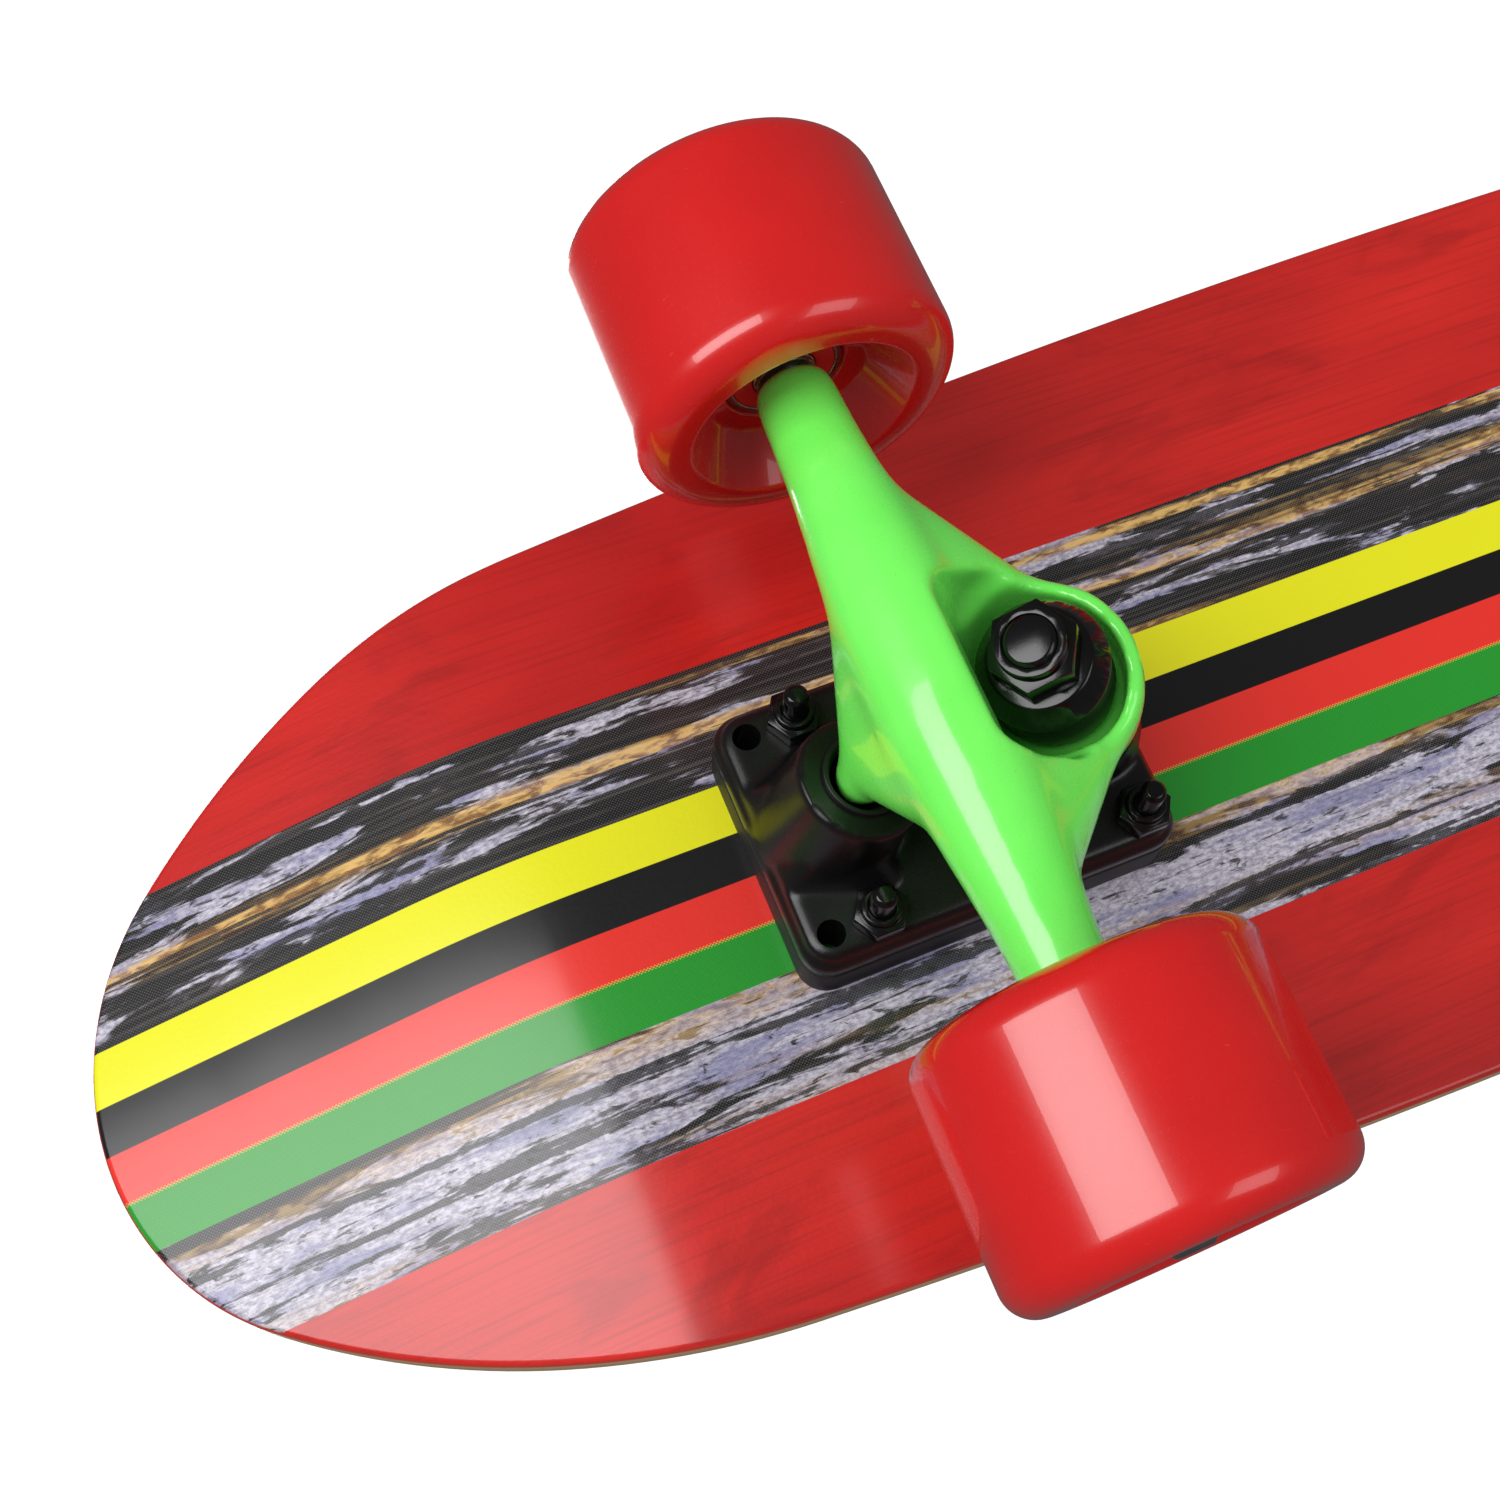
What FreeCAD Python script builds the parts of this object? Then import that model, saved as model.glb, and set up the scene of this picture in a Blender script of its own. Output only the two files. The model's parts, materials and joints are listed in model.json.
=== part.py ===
"""Mini cruiser skateboard: pressed deck, two traditional-kingpin trucks and four soft wheels.

Frame: the board stands on its wheels. +Z is up, +X runs along the deck towards the front, and the
origin lies on the ground under the middle of the board. Lengths are in millimetres.
"""
import FreeCAD, Part
import math
import os
import re
import Sketcher
from FreeCAD import Placement, Rotation, Vector

# ---------------------------------------------------------------- driving dimensions

SIZES = {
    "deck_half_length": 345,        # middle of the board to the tip
    "deck_half_width": 91.5,
    "deck_thickness": 10,           # seven maple plies
    "side_radius": 2600,            # long gentle side of the outline
    "shoulder_radius": 165,
    "nose_radius": 57,
    "kick_start": 244.5,            # where the deck begins to bend up
    "kick_radius": 125,
    "kick_angle": 16.2,
    "grip_thickness": 0.8,
    "grip_inset": 1.5,
    "truck_from_middle": 176.5,     # middle of the board to the middle of the bolt pattern
    "bolt_along": 54,               # inner four-hole pattern
    "bolt_across": 41.3,
    "bolt_centre": 4.75,            # pattern's centre, towards the middle of the board
    "spare_row": 31.75,             # outer pair of holes, left empty
    "bolt_radius": 2.4,
    "bolt_hole_radius": 2.7,
    "bolt_head_radius": 4.6,
    "bolt_head_height": 2.4,
    "bolt_stick_out": 12.4,
    "bolt_nut_flats": 9.5,
    "bolt_nut_height": 5.5,
    "riser_thickness": 9,
    "plate_thickness": 7,
    "plate_width": 54,
    "plate_outer": 38,              # pattern centre to the plate's end at the tip side
    "plate_inner": 39,              # the same towards the middle
    "plate_corner": 6,
    "kingpin_lean": 20,             # kingpin off vertical
    "seat_inward": 19.4,            # bushing seat in the hanger's ring, from the pattern centre
    "seat_below": 39.1,             # the same, below the deck's underside
    "pivot_outward": 18.5,          # pivot ball; the steering axis joins it to the seat
    "pivot_below": 31,
    "pivot_radius": 5.6,
    "cup_wall": 2,
    "cup_gap": 0.3,
    "cup_flare": 1.2,
    "cup_height": 2.2,
    "housing_foot_radius": 17,      # cone that carries the cup
    "housing_radius": 11.8,
    "housing_depth": 22,
    "housing_rim": 1.2,
    "boss_radius": 11.5,
    "boss_flare": 3,
    "boss_sink": 8,
    "boss_gap": 4.5,
    "ring_foot_radius": 15.2,
    "ring_radius": 17.8,
    "ring_below_seat": 6,           # ring's extent along the kingpin, towards the deck
    "ring_above_seat": 12,          # and towards the road
    "seat_half_thickness": 2.5,
    "seat_hole_radius": 6.5,
    "basin_radius": 13.5,           # bowl that holds the road-side bushing
    "basin_mouth_radius": 16.8,
    "basin_depth": 24,
    "nut_way_radius": 20,           # hollow beside the beam, so that the nut can swing
    "nut_way_offset": 9.5,
    "nut_way_start": 16,
    "board_recess_radius": 12.6,
    "throat_radius": 10.5,          # thick middle of the casting, at the axle
    "neck_radius": 10,
    "neck_outward": 15,
    "nose_radius": 7,
    "nose_start": 9,                # along the pivot pin, from the ball
    "nose_across": 13,
    "web_ring_radius": 5.5,
    "web_arm_radius": 8,
    "web_ring_across": 12.5,
    "web_ring_outward": 4,          # from the kingpin, and its height along it
    "web_ring_height": 2,
    "web_arm_across": 26,
    "kingpin_radius": 4.75,
    "kingpin_head_radius": 6.5,
    "kingpin_head_height": 4,
    "kingpin_foot": 23.5,           # head's shoulder, from the seat's middle towards the deck
    "kingpin_end": 32.5,            # threaded end, from the seat's middle towards the road
    "kingpin_flats": 14.3,
    "kingpin_nut_height": 9.7,
    "nut_collar_step": 1,
    "nut_flats_share": 0.72,        # share of a lock nut's height that is a hexagon
    "thread_bevel": 0.8,
    "board_bushing_length": 15.5,
    "board_bushing_foot_radius": 10.5,
    "board_bushing_top_radius": 11.1,
    "road_bushing_length": 18.5,
    "road_bushing_base_radius": 10.6,
    "road_bushing_radius": 11.4,
    "road_bushing_top_radius": 7.8,
    "road_bushing_neck_radius": 9.4,
    "road_bushing_belly": 4,        # heights above the seat where its slopes change
    "road_bushing_shoulder": 10.5,
    "road_bushing_neck": 14.9,
    "bushing_hole_radius": 4.9,
    "road_washer_radius": 12,
    "road_washer_flat": 9.2,
    "road_washer_depth": 5,
    "board_washer_radius": 12.9,
    "board_washer_flat": 11.8,
    "board_washer_depth": 2.4,
    "washer_sheet": 1.2,
    "axle_outward": 8.2,            # axle, from the pattern centre
    "axle_below": 63,               # axle, below the deck's underside
    "axle_radius": 4,
    "axle_half_length": 98.5,
    "hanger_half_width": 63.5,
    "arm_end_radius": 7.8,
    "arm_mid_radius": 9.4,
    "arm_root_radius": 11.5,
    "arm_mid_place": 36,
    "arm_root_place": 8,
    "wheel_radius": 30,
    "wheel_half_width": 22,
    "wheel_lip": 5.5,
    "wheel_recess_radius": 22,
    "hub_face_radius": 14,
    "hub_half_width": 12.3,
    "hub_step_radius": 9.4,         # shoulder between the two bearing seats
    "hub_bore_radius": 11.02,
    "bearing_radius": 11,
    "bearing_width": 7,
    "bearing_bore": 4.03,
    "outer_race_bore": 9.6,
    "inner_race_radius": 5.9,
    "ball_radius": 1.8,
    "ball_circle": 7.75,
    "seal_thickness": 0.6,
    "seal_gap": 0.12,
    "seal_inset": 0.3,
    "spacer_length": 10,
    "spacer_radius": 5.2,
    "speed_washer": 0.8,
    "speed_washer_radius": 5.6,
    "axle_nut_flats": 12.7,
    "axle_nut_height": 7,
}
BALLS_PER_BEARING = 7

doc = FreeCAD.newDocument("skateboard")
sheet = doc.addObject("Spreadsheet::Sheet", "Sizes")
for row, (alias, value) in enumerate(SIZES.items(), start=1):
    sheet.set(f"A{row}", alias)
    sheet.set(f"B{row}", str(value))
    sheet.setAlias(f"B{row}", alias)
doc.recompute()

ALIAS = re.compile(r"[a-z]+(?:_[a-z]+)+")
SUB_PARTS = []


def bound(formula):
    """The formula with each alias turned into a reference to the sheet."""
    return ALIAS.sub(r"Sizes.\g<0>", formula)


def size(formula):
    """The formula's value in millimetres or degrees."""
    return float(sheet.evalExpression(bound(formula)))


# ---------------------------------------------------------------- places

DECK_UNDERSIDE = size("wheel_radius + axle_below")
UP = Vector(0, 0, 1)
FAR = 60                            # longer than any cut has to reach


def truck_place(side):
    """Deck underside at the middle of a bolt pattern, with local +X towards that end's tip."""
    turn = 0 if side == "front" else 180
    along = size("truck_from_middle") * (1 if side == "front" else -1)
    return Placement(Vector(along, 0, DECK_UNDERSIDE), Rotation(UP, turn))


def kingpin_place(distance):
    """Local place on the kingpin's axis, with +Z towards the road, from the seat's middle."""
    seat = Vector(-size("seat_inward"), 0, -size("seat_below"))
    lean = Rotation(Vector(0, 1, 0), 180 - size("kingpin_lean"))
    return Placement(seat + lean.multVec(Vector(0, 0, distance)), lean)


def pivot_place(distance):
    """Local place on the pivot pin's axis, with +Z from the ball towards the axle."""
    ball = Vector(size("pivot_outward"), 0, -size("pivot_below"))
    axle = Vector(size("axle_outward"), 0, -size("axle_below"))
    lean = Rotation(UP, axle - ball)
    return Placement(ball + lean.multVec(UP) * distance, lean)


def axle_place(hand, distance):
    """Local place on the axle, with +Z outwards on the hand's side (1 is local +Y)."""
    centre = Vector(size("axle_outward"), hand * distance, -size("axle_below"))
    return Placement(centre, Rotation(Vector(1, 0, 0), -90 * hand))


# ---------------------------------------------------------------- ways of making a piece

def new_body(label, place):
    body = doc.addObject("PartDesign::Body", label)
    body.Label = label
    body.Placement = place
    return body


def sketch_on(body, role):
    sketch = body.newObject("Sketcher::SketchObject", body.Name + "_sketch")
    plane = [part for part in body.Origin.OriginFeatures if part.Role == role][0]
    sketch.AttachmentSupport = [(plane, "")]
    sketch.MapMode = "FlatFace"
    return sketch


def pin_point(sketch, line, end, across, upward):
    """Holds one end of a line at two formulas' distances from the sketch's origin."""
    for kind, formula, axis in (("DistanceX", across, -2), ("DistanceY", upward, -1)):
        if formula == "0":
            sketch.addConstraint(Sketcher.Constraint("PointOnObject", line, end, axis))
            continue
        index = sketch.addConstraint(
            Sketcher.Constraint(kind, -1, 1, line, end, size(formula)))
        sketch.setExpression(f"Constraints[{index}]", bound(formula))


def draw_corners(sketch, corners):
    """A closed outline through corners, each a pair of formulas."""
    points = [Vector(size(across), size(upward), 0) for across, upward in corners]
    first = sketch.GeometryCount
    for start, end in zip(points, points[1:] + points[:1]):
        sketch.addGeometry(Part.LineSegment(start, end))
    count = len(points)
    for number in range(count):
        following = first + (number + 1) % count
        sketch.addConstraint(Sketcher.Constraint("Coincident", first + number, 2, following, 1))
    for number, (across, upward) in enumerate(corners):
        pin_point(sketch, first + number, 1, across, upward)


def draw_circle(sketch, across, upward, radius):
    centre = Vector(size(across), size(upward), 0)
    line = sketch.addGeometry(Part.Circle(centre, UP, size(radius)))
    pin_point(sketch, line, 3, across, upward)
    index = sketch.addConstraint(Sketcher.Constraint("Radius", line, size(radius)))
    sketch.setExpression(f"Constraints[{index}]", bound(radius))


def draw_hexagon(sketch, flats):
    """A hexagon about the sketch's origin, flats apart by the formula."""
    corner = f"({flats}) / sqrt(3)"
    edge = f"({flats}) / 2"
    half = f"({flats}) / sqrt(3) / 2"
    draw_corners(sketch, [(corner, "0"), (half, edge), (f"-{half}", edge),
                          (f"-{corner}", "0"), (f"-{half}", f"-{edge}"), (half, f"-{edge}")])


def turned(label, place, corners):
    """A round piece: (radius, height) corners turned about the piece's own Z axis."""
    body = new_body(label, place)
    sketch = sketch_on(body, "XZ_Plane")
    draw_corners(sketch, corners)
    turn = body.newObject("PartDesign::Revolution", label + "_turn")
    turn.Profile = sketch
    turn.ReferenceAxis = (sketch, ["V_Axis"])
    turn.Angle = 360
    return body


def padded(label, place, draw, length, role="XY_Plane", both_ways=False):
    """A plate or bar: what draw(sketch) draws, given a thickness."""
    body = new_body(label, place)
    sketch = sketch_on(body, role)
    draw(sketch)
    pad = body.newObject("PartDesign::Pad", label + "_pad")
    pad.Profile = sketch
    pad.setExpression("Length", bound(length))
    if both_ways:
        pad.Midplane = True
    return body


def pocket(body, draw, role="XY_Plane"):
    """Cuts what draw(sketch) draws right through the body, both ways."""
    sketch = sketch_on(body, role)
    draw(sketch)
    cut = body.newObject("PartDesign::Pocket", body.Name + "_pocket")
    cut.Profile = sketch
    cut.Type = "ThroughAll"
    cut.Midplane = True
    return cut


def primitive(kind, name, place, **sizes):
    shape = doc.addObject(kind, name)
    for name_of_size, formula in sizes.items():
        shape.setExpression(name_of_size, bound(formula))
    shape.Placement = place
    return shape


def fused(name, pieces):
    result = doc.addObject("Part::MultiFuse", name)
    result.Shapes = pieces
    return result


def cut_from(name, base, tools):
    result = doc.addObject("Part::Cut", name)
    result.Base = base
    result.Tool = fused(name + "_tools", tools) if len(tools) > 1 else tools[0]
    return result


def group(label, pattern, places):
    """One node of separate solids: copies of a pattern piece at several places."""
    doc.recompute()
    result = doc.addObject("Part::Feature", label)
    solid = pattern.Shape.copy()
    copies = []
    for place in places:
        copy = solid.copy()
        copy.Placement = place
        copies.append(copy)
    result.Shape = Part.makeCompound(copies)
    return result


def sub_part(piece, label):
    piece.Label = label
    SUB_PARTS.append(piece)
    return piece


# ---------------------------------------------------------------- deck and grip tape

def draw_outline(sketch, inset):
    """The board's outline: nose, shoulder and side arcs, tangent to each other, four times over."""
    half_length = size("deck_half_length") - inset
    half_width = size("deck_half_width") - inset
    side, shoulder, nose = (size(name) - inset for name in
                            ("side_radius", "shoulder_radius", "nose_radius"))
    side_centre = Vector(0, half_width - side, 0)
    nose_centre = Vector(half_length - nose, 0, 0)
    between = nose_centre - side_centre
    reach = (between.Length ** 2 + (side - shoulder) ** 2 - (shoulder - nose) ** 2)
    reach /= 2 * between.Length
    aside = math.sqrt((side - shoulder) ** 2 - reach ** 2)
    along = Vector(between).normalize()
    shoulder_centre = side_centre + along * reach + Vector(along.y, -along.x, 0) * aside
    if shoulder_centre.x > nose_centre.x:
        shoulder_centre = side_centre + along * reach - Vector(along.y, -along.x, 0) * aside
    first = sketch.GeometryCount
    end_of_side = (shoulder_centre - side_centre).normalize()
    end_of_shoulder = (nose_centre - shoulder_centre).normalize()
    side_angle = math.atan2(end_of_side.y, end_of_side.x)
    nose_angle = math.atan2(end_of_shoulder.y, end_of_shoulder.x)
    half_turn = math.pi
    arcs = [
        (nose_centre, nose, -nose_angle, nose_angle),
        (shoulder_centre, shoulder, nose_angle, side_angle),
        (side_centre, side, side_angle, half_turn - side_angle),
        (Vector(-shoulder_centre.x, shoulder_centre.y, 0), shoulder,
         half_turn - side_angle, half_turn - nose_angle),
        (-nose_centre, nose, half_turn - nose_angle, half_turn + nose_angle),
        (-shoulder_centre, shoulder, half_turn + nose_angle, half_turn + side_angle),
        (-side_centre, side, half_turn + side_angle, 2 * half_turn - side_angle),
        (Vector(shoulder_centre.x, -shoulder_centre.y, 0), shoulder,
         2 * half_turn - side_angle, 2 * half_turn - nose_angle),
    ]
    for centre, radius, start, end in arcs:
        sketch.addGeometry(Part.ArcOfCircle(Part.Circle(centre, UP, radius), start, end))
    for number in range(8):
        following = first + (number + 1) % 8
        sketch.addConstraint(Sketcher.Constraint("Tangent", first + number, 2, following, 1))
    names = ("nose_radius", "shoulder_radius", "side_radius", "shoulder_radius") * 2
    for number, name in enumerate(names):
        index = sketch.addConstraint(
            Sketcher.Constraint("Radius", first + number, arcs[number][1]))
        sketch.setExpression(f"Constraints[{index}]", f"{bound(name)} - {inset}")
    nose_out = "(deck_half_length - nose_radius)"
    side_out = "(deck_half_width - side_radius)"
    pin_point(sketch, first, 3, nose_out, "0")
    pin_point(sketch, first + 2, 3, "0", side_out)
    pin_point(sketch, first + 4, 3, "-" + nose_out, "0")
    pin_point(sketch, first + 6, 3, "0", "-" + side_out)


def bent_sheet(label, low, high):
    """A sheet with both ends bent up, as wide as the board and a little longer."""
    bend = math.radians(size("kick_angle"))
    start, radius = size("kick_start"), size("kick_radius")
    past_tip = size("deck_half_length") + 20

    def on_bend(height, angle):
        reach = radius - height
        return Vector(start + reach * math.sin(angle), radius - reach * math.cos(angle), 0)

    def at_tip(height):
        foot = on_bend(height, bend)
        return Vector(past_tip, foot.y + (past_tip - foot.x) * math.tan(bend), 0)

    def mirrored(point):
        return Vector(-point.x, point.y, 0)

    pieces = []
    lower, upper = ([on_bend(height, angle) for angle in (0, bend / 2, bend)]
                    for height in (low, high))
    for place in (Vector, mirrored):
        pieces.append(Part.Arc(*[place(point) for point in lower]))
        pieces.append(Part.LineSegment(place(lower[-1]), place(at_tip(low))))
        pieces.append(Part.LineSegment(place(at_tip(low)), place(at_tip(high))))
        pieces.append(Part.LineSegment(place(at_tip(high)), place(upper[-1])))
        pieces.append(Part.Arc(*[place(point) for point in upper]))
    pieces.append(Part.LineSegment(mirrored(lower[0]), lower[0]))
    pieces.append(Part.LineSegment(mirrored(upper[0]), upper[0]))

    def draw(sketch):
        for piece in pieces:
            sketch.addGeometry(piece)
            sketch.addConstraint(Sketcher.Constraint("Block", sketch.GeometryCount - 1))

    place = Placement(Vector(0, 0, DECK_UNDERSIDE), Rotation())
    return padded(label, place, draw, "deck_half_width * 2 + 20", "XZ_Plane", True)


def bolt_spots():
    """Local (along, across) formulas of the four bolts, +X towards the tip."""
    outer = "bolt_along / 2 - bolt_centre"
    inner = "-(bolt_along / 2 + bolt_centre)"
    half = "bolt_across / 2"
    return [(along, sign + half) for along in (outer, inner) for sign in ("", "-")]


def trim_to_outline(body, inset):
    def draw(sketch):
        far_x, far_y = "(deck_half_length + 60)", "(deck_half_width + 60)"
        draw_corners(sketch, [(far_x, far_y), ("-" + far_x, far_y),
                              ("-" + far_x, "-" + far_y), (far_x, "-" + far_y)])
        draw_outline(sketch, inset)
    pocket(body, draw)


def drill_deck_bolts(body, radius):
    def draw(sketch):
        for end in ("", "-"):
            for along, across in bolt_spots():
                draw_circle(sketch, f"{end}(truck_from_middle + ({along}))", across, radius)
    pocket(body, draw)


def seat_bolt_heads(body):
    """Sinks the flat bolt heads into the deck's top."""
    sketch = sketch_on(body, "XY_Plane")
    sketch.AttachmentOffset = Placement(Vector(0, 0, size("deck_thickness")), Rotation())
    for end in ("", "-"):
        for along, across in bolt_spots():
            draw_circle(sketch, f"{end}(truck_from_middle + ({along}))", across,
                        "bolt_head_radius + 0.05")
    cut = body.newObject("PartDesign::Pocket", body.Name + "_head_seats")
    cut.Profile = sketch
    cut.setExpression("Length", bound("bolt_head_height"))


def make_deck():
    deck = bent_sheet("deck", 0, size("deck_thickness"))
    trim_to_outline(deck, 0)
    drill_deck_bolts(deck, "bolt_hole_radius")
    seat_bolt_heads(deck)
    return sub_part(deck, "deck")


def make_grip_tape():
    top = size("deck_thickness")
    tape = bent_sheet("grip_tape", top, top + size("grip_thickness"))
    trim_to_outline(tape, size("grip_inset"))
    drill_deck_bolts(tape, "bolt_head_radius + 0.4")
    return sub_part(tape, "grip_tape")


# ---------------------------------------------------------------- truck: plate side

def draw_plate_outline(sketch):
    out, inn, half = "plate_outer", "-plate_inner", "plate_width / 2"
    draw_corners(sketch, [(out, half), (inn, half), (inn, "-" + half), (out, "-" + half)])


def draw_all_holes(sketch):
    for along, across in bolt_spots():
        draw_circle(sketch, along, across, "bolt_hole_radius")
    for sign in ("", "-"):
        draw_circle(sketch, "spare_row", f"{sign}bolt_across / 2", "bolt_hole_radius")


def round_uprights(body, radius):
    """Rounds a plate's four upright corner edges."""
    doc.recompute()
    corners = []
    for number, edge in enumerate(body.Shape.Edges, start=1):
        line = edge.Vertexes[-1].Point - edge.Vertexes[0].Point
        if len(edge.Vertexes) == 2 and abs(line.x) + abs(line.y) < 1e-6:
            if isinstance(edge.Curve, (Part.Line, Part.LineSegment)):
                corners.append(f"Edge{number}")
    plain = body.Tip
    fillet = body.newObject("PartDesign::Fillet", body.Name + "_corners")
    fillet.Base = (plain, corners)
    fillet.setExpression("Radius", bound(radius))
    return fillet


def make_riser_pad(side):
    place = truck_place(side).multiply(Placement(Vector(0, 0, -size("riser_thickness")), Rotation()))
    riser = padded("riser_pad_" + side, place, draw_plate_outline, "riser_thickness")
    round_uprights(riser, "plate_corner")
    pocket(riser, draw_all_holes)
    return sub_part(riser, "riser_pad_" + side)


def make_baseplate(side):
    """A cast plate with a boss for the kingpin and a leaning housing for the pivot cup."""
    name = "baseplate_" + side
    bottom = -size("riser_thickness")
    top = bottom - size("plate_thickness")
    slab = padded(name + "_slab", Placement(Vector(0, 0, top), Rotation()),
                  draw_plate_outline, "plate_thickness")
    round_uprights(slab, "plate_corner")
    pocket(slab, draw_all_holes)
    boss = primitive("Part::Cone", name + "_boss", kingpin_place(-size("kingpin_foot + boss_sink")),
                     Radius1="boss_radius + boss_flare", Radius2="boss_radius",
                     Height="kingpin_foot + boss_sink - board_bushing_length - boss_gap")
    housing = primitive("Part::Cone", name + "_housing", pivot_place(-size("housing_depth")),
                        Radius1="housing_foot_radius", Radius2="housing_radius",
                        Height="housing_depth + housing_rim")
    block = primitive("Part::Box", name + "_bounds", Placement(
        Vector(-size("plate_inner"), -size("plate_width") / 2, -FAR), Rotation()),
        Length="plate_outer + plate_inner", Width="plate_width",
        Height=f"{FAR} - riser_thickness")
    body = fused(name + "_casting", [slab, boss, housing])
    trimmed = doc.addObject("Part::Common", name + "_trimmed")
    trimmed.Base = body
    trimmed.Tool = block
    wall = "pivot_radius + cup_gap + cup_wall"
    socket_ball = primitive("Part::Sphere", name + "_socket_ball", pivot_place(0), Radius=wall)
    socket_way = primitive("Part::Cylinder", name + "_socket_way", pivot_place(0),
                           Radius=wall, Height=str(FAR))
    shank = primitive("Part::Cylinder", name + "_shank", kingpin_place(-FAR),
                      Radius="kingpin_radius", Height=str(FAR))
    head = primitive("Part::Cylinder", name + "_head", kingpin_place(-size("kingpin_foot") - FAR),
                     Radius="kingpin_head_radius", Height=str(FAR))
    plate = cut_from(name, trimmed, [socket_ball, socket_way, shank, head])
    plate.Placement = truck_place(side)
    return sub_part(plate, name)


def make_pivot_cup(side):
    name = "pivot_cup_" + side
    wall = "pivot_radius + cup_gap + cup_wall"
    outer_ball = primitive("Part::Sphere", name + "_outer_ball", pivot_place(0), Radius=wall)
    outer_tube = primitive("Part::Cylinder", name + "_outer_tube", pivot_place(0),
                           Radius=wall, Height="cup_height")
    inner_ball = primitive("Part::Sphere", name + "_inner_ball", pivot_place(0),
                           Radius="pivot_radius + cup_gap")
    inner_tube = primitive("Part::Cone", name + "_inner_tube", pivot_place(0),
                           Radius1="pivot_radius + cup_gap", Radius2="pivot_radius + cup_gap + cup_flare",
                           Height="cup_height + 0.01")
    above = primitive("Part::Cylinder", name + "_above", pivot_place(size("cup_height")),
                      Radius=f"{wall} + 1", Height=str(FAR))
    cup = cut_from(name, fused(name + "_outside", [outer_ball, outer_tube]),
                   [inner_ball, inner_tube, above])
    cup.Placement = truck_place(side)
    return sub_part(cup, name)


def make_kingpin(side):
    foot, end, radius = "-kingpin_foot", "kingpin_end", "kingpin_radius"
    head = "-(kingpin_foot + kingpin_head_height)"
    place = truck_place(side).multiply(kingpin_place(0))
    return sub_part(turned("kingpin_" + side, place, [
        ("0", head), ("kingpin_head_radius", head), ("kingpin_head_radius", foot), (radius, foot),
        (radius, "kingpin_end - thread_bevel"), ("kingpin_radius - thread_bevel", end), ("0", end)]),
        "kingpin_" + side)


def bushing(label, side, start, profile):
    """A turned bushing around the kingpin: (radius, height) corners above its start."""
    place = truck_place(side).multiply(kingpin_place(size(start)))
    hole = "bushing_hole_radius"
    corners = [(hole, profile[0][1])] + profile + [(hole, profile[-1][1])]
    return sub_part(turned(label + "_" + side, place, corners), label + "_" + side)


def cup_washer(label, side, start, depth, radius, flat, flip):
    """A pressed cup: flat around the kingpin, with a skirt turned down over the bushing."""
    tilt = Rotation(Vector(1, 0, 0), 180) if flip else Rotation()
    place = truck_place(side).multiply(kingpin_place(size(start))).multiply(
        Placement(Vector(), tilt))
    return sub_part(turned(label + "_" + side, place, [
        ("bushing_hole_radius", "0"), (flat, "0"), (radius, f"-({depth})"),
        (f"({radius}) - washer_sheet", f"-({depth})"),
        (f"{flat} - 0.4 * washer_sheet", "-washer_sheet"),
        ("bushing_hole_radius", "-washer_sheet")]), label + "_" + side)


def hex_nut(label, place, flats, height, hole):
    """A lock nut: a hexagon with a round collar, both bored."""
    nut = padded(label, place, lambda sketch: draw_hexagon(sketch, flats), f"({height}) * nut_flats_share")
    collar = sketch_on(nut, "XY_Plane")
    draw_circle(collar, "0", "0", f"({flats}) / 2 - nut_collar_step")
    top = nut.newObject("PartDesign::Pad", label + "_collar")
    top.Profile = collar
    top.setExpression("Length", bound(height))
    pocket(nut, lambda sketch: draw_circle(sketch, "0", "0", hole))
    return nut


def make_deck_bolts(side):
    """Four flat-headed bolts, from the deck's top through riser and plate."""
    top = size("deck_thickness")
    length = "(deck_thickness + riser_thickness + plate_thickness + bolt_stick_out)"
    name = "deck_bolts_" + side
    bolt = turned(name + "_one", Placement(), [
        ("0", "0"), ("bolt_head_radius", "0"), ("bolt_head_radius", "-0.4"),
        ("bolt_radius", "-bolt_head_height"), ("bolt_radius", f"thread_bevel - {length}"),
        ("bolt_radius - thread_bevel", f"-{length}"), ("0", f"-{length}")])
    spots = [truck_place(side).multiply(Placement(Vector(size(along), size(across), top), Rotation()))
             for along, across in bolt_spots()]
    return sub_part(group(name, bolt, spots), name)


def make_deck_nuts(side):
    name = "deck_nuts_" + side
    low = -size("riser_thickness + plate_thickness")
    nut = hex_nut(name + "_one", Placement(), "bolt_nut_flats", "bolt_nut_height", "bolt_radius")
    flip = Rotation(Vector(1, 0, 0), 180)
    spots = [truck_place(side).multiply(Placement(Vector(size(along), size(across), low), flip))
             for along, across in bolt_spots()]
    return sub_part(group(name, nut, spots), name)


# ---------------------------------------------------------------- truck: hanger side

def cone_between(name, start, end, start_radius, end_radius):
    """A cone frustum from one local point to another."""
    way = end - start
    cone = primitive("Part::Cone", name, Placement(start, Rotation(UP, way)),
                     Radius1=start_radius, Radius2=end_radius)
    cone.Height = way.Length
    return cone


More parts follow.
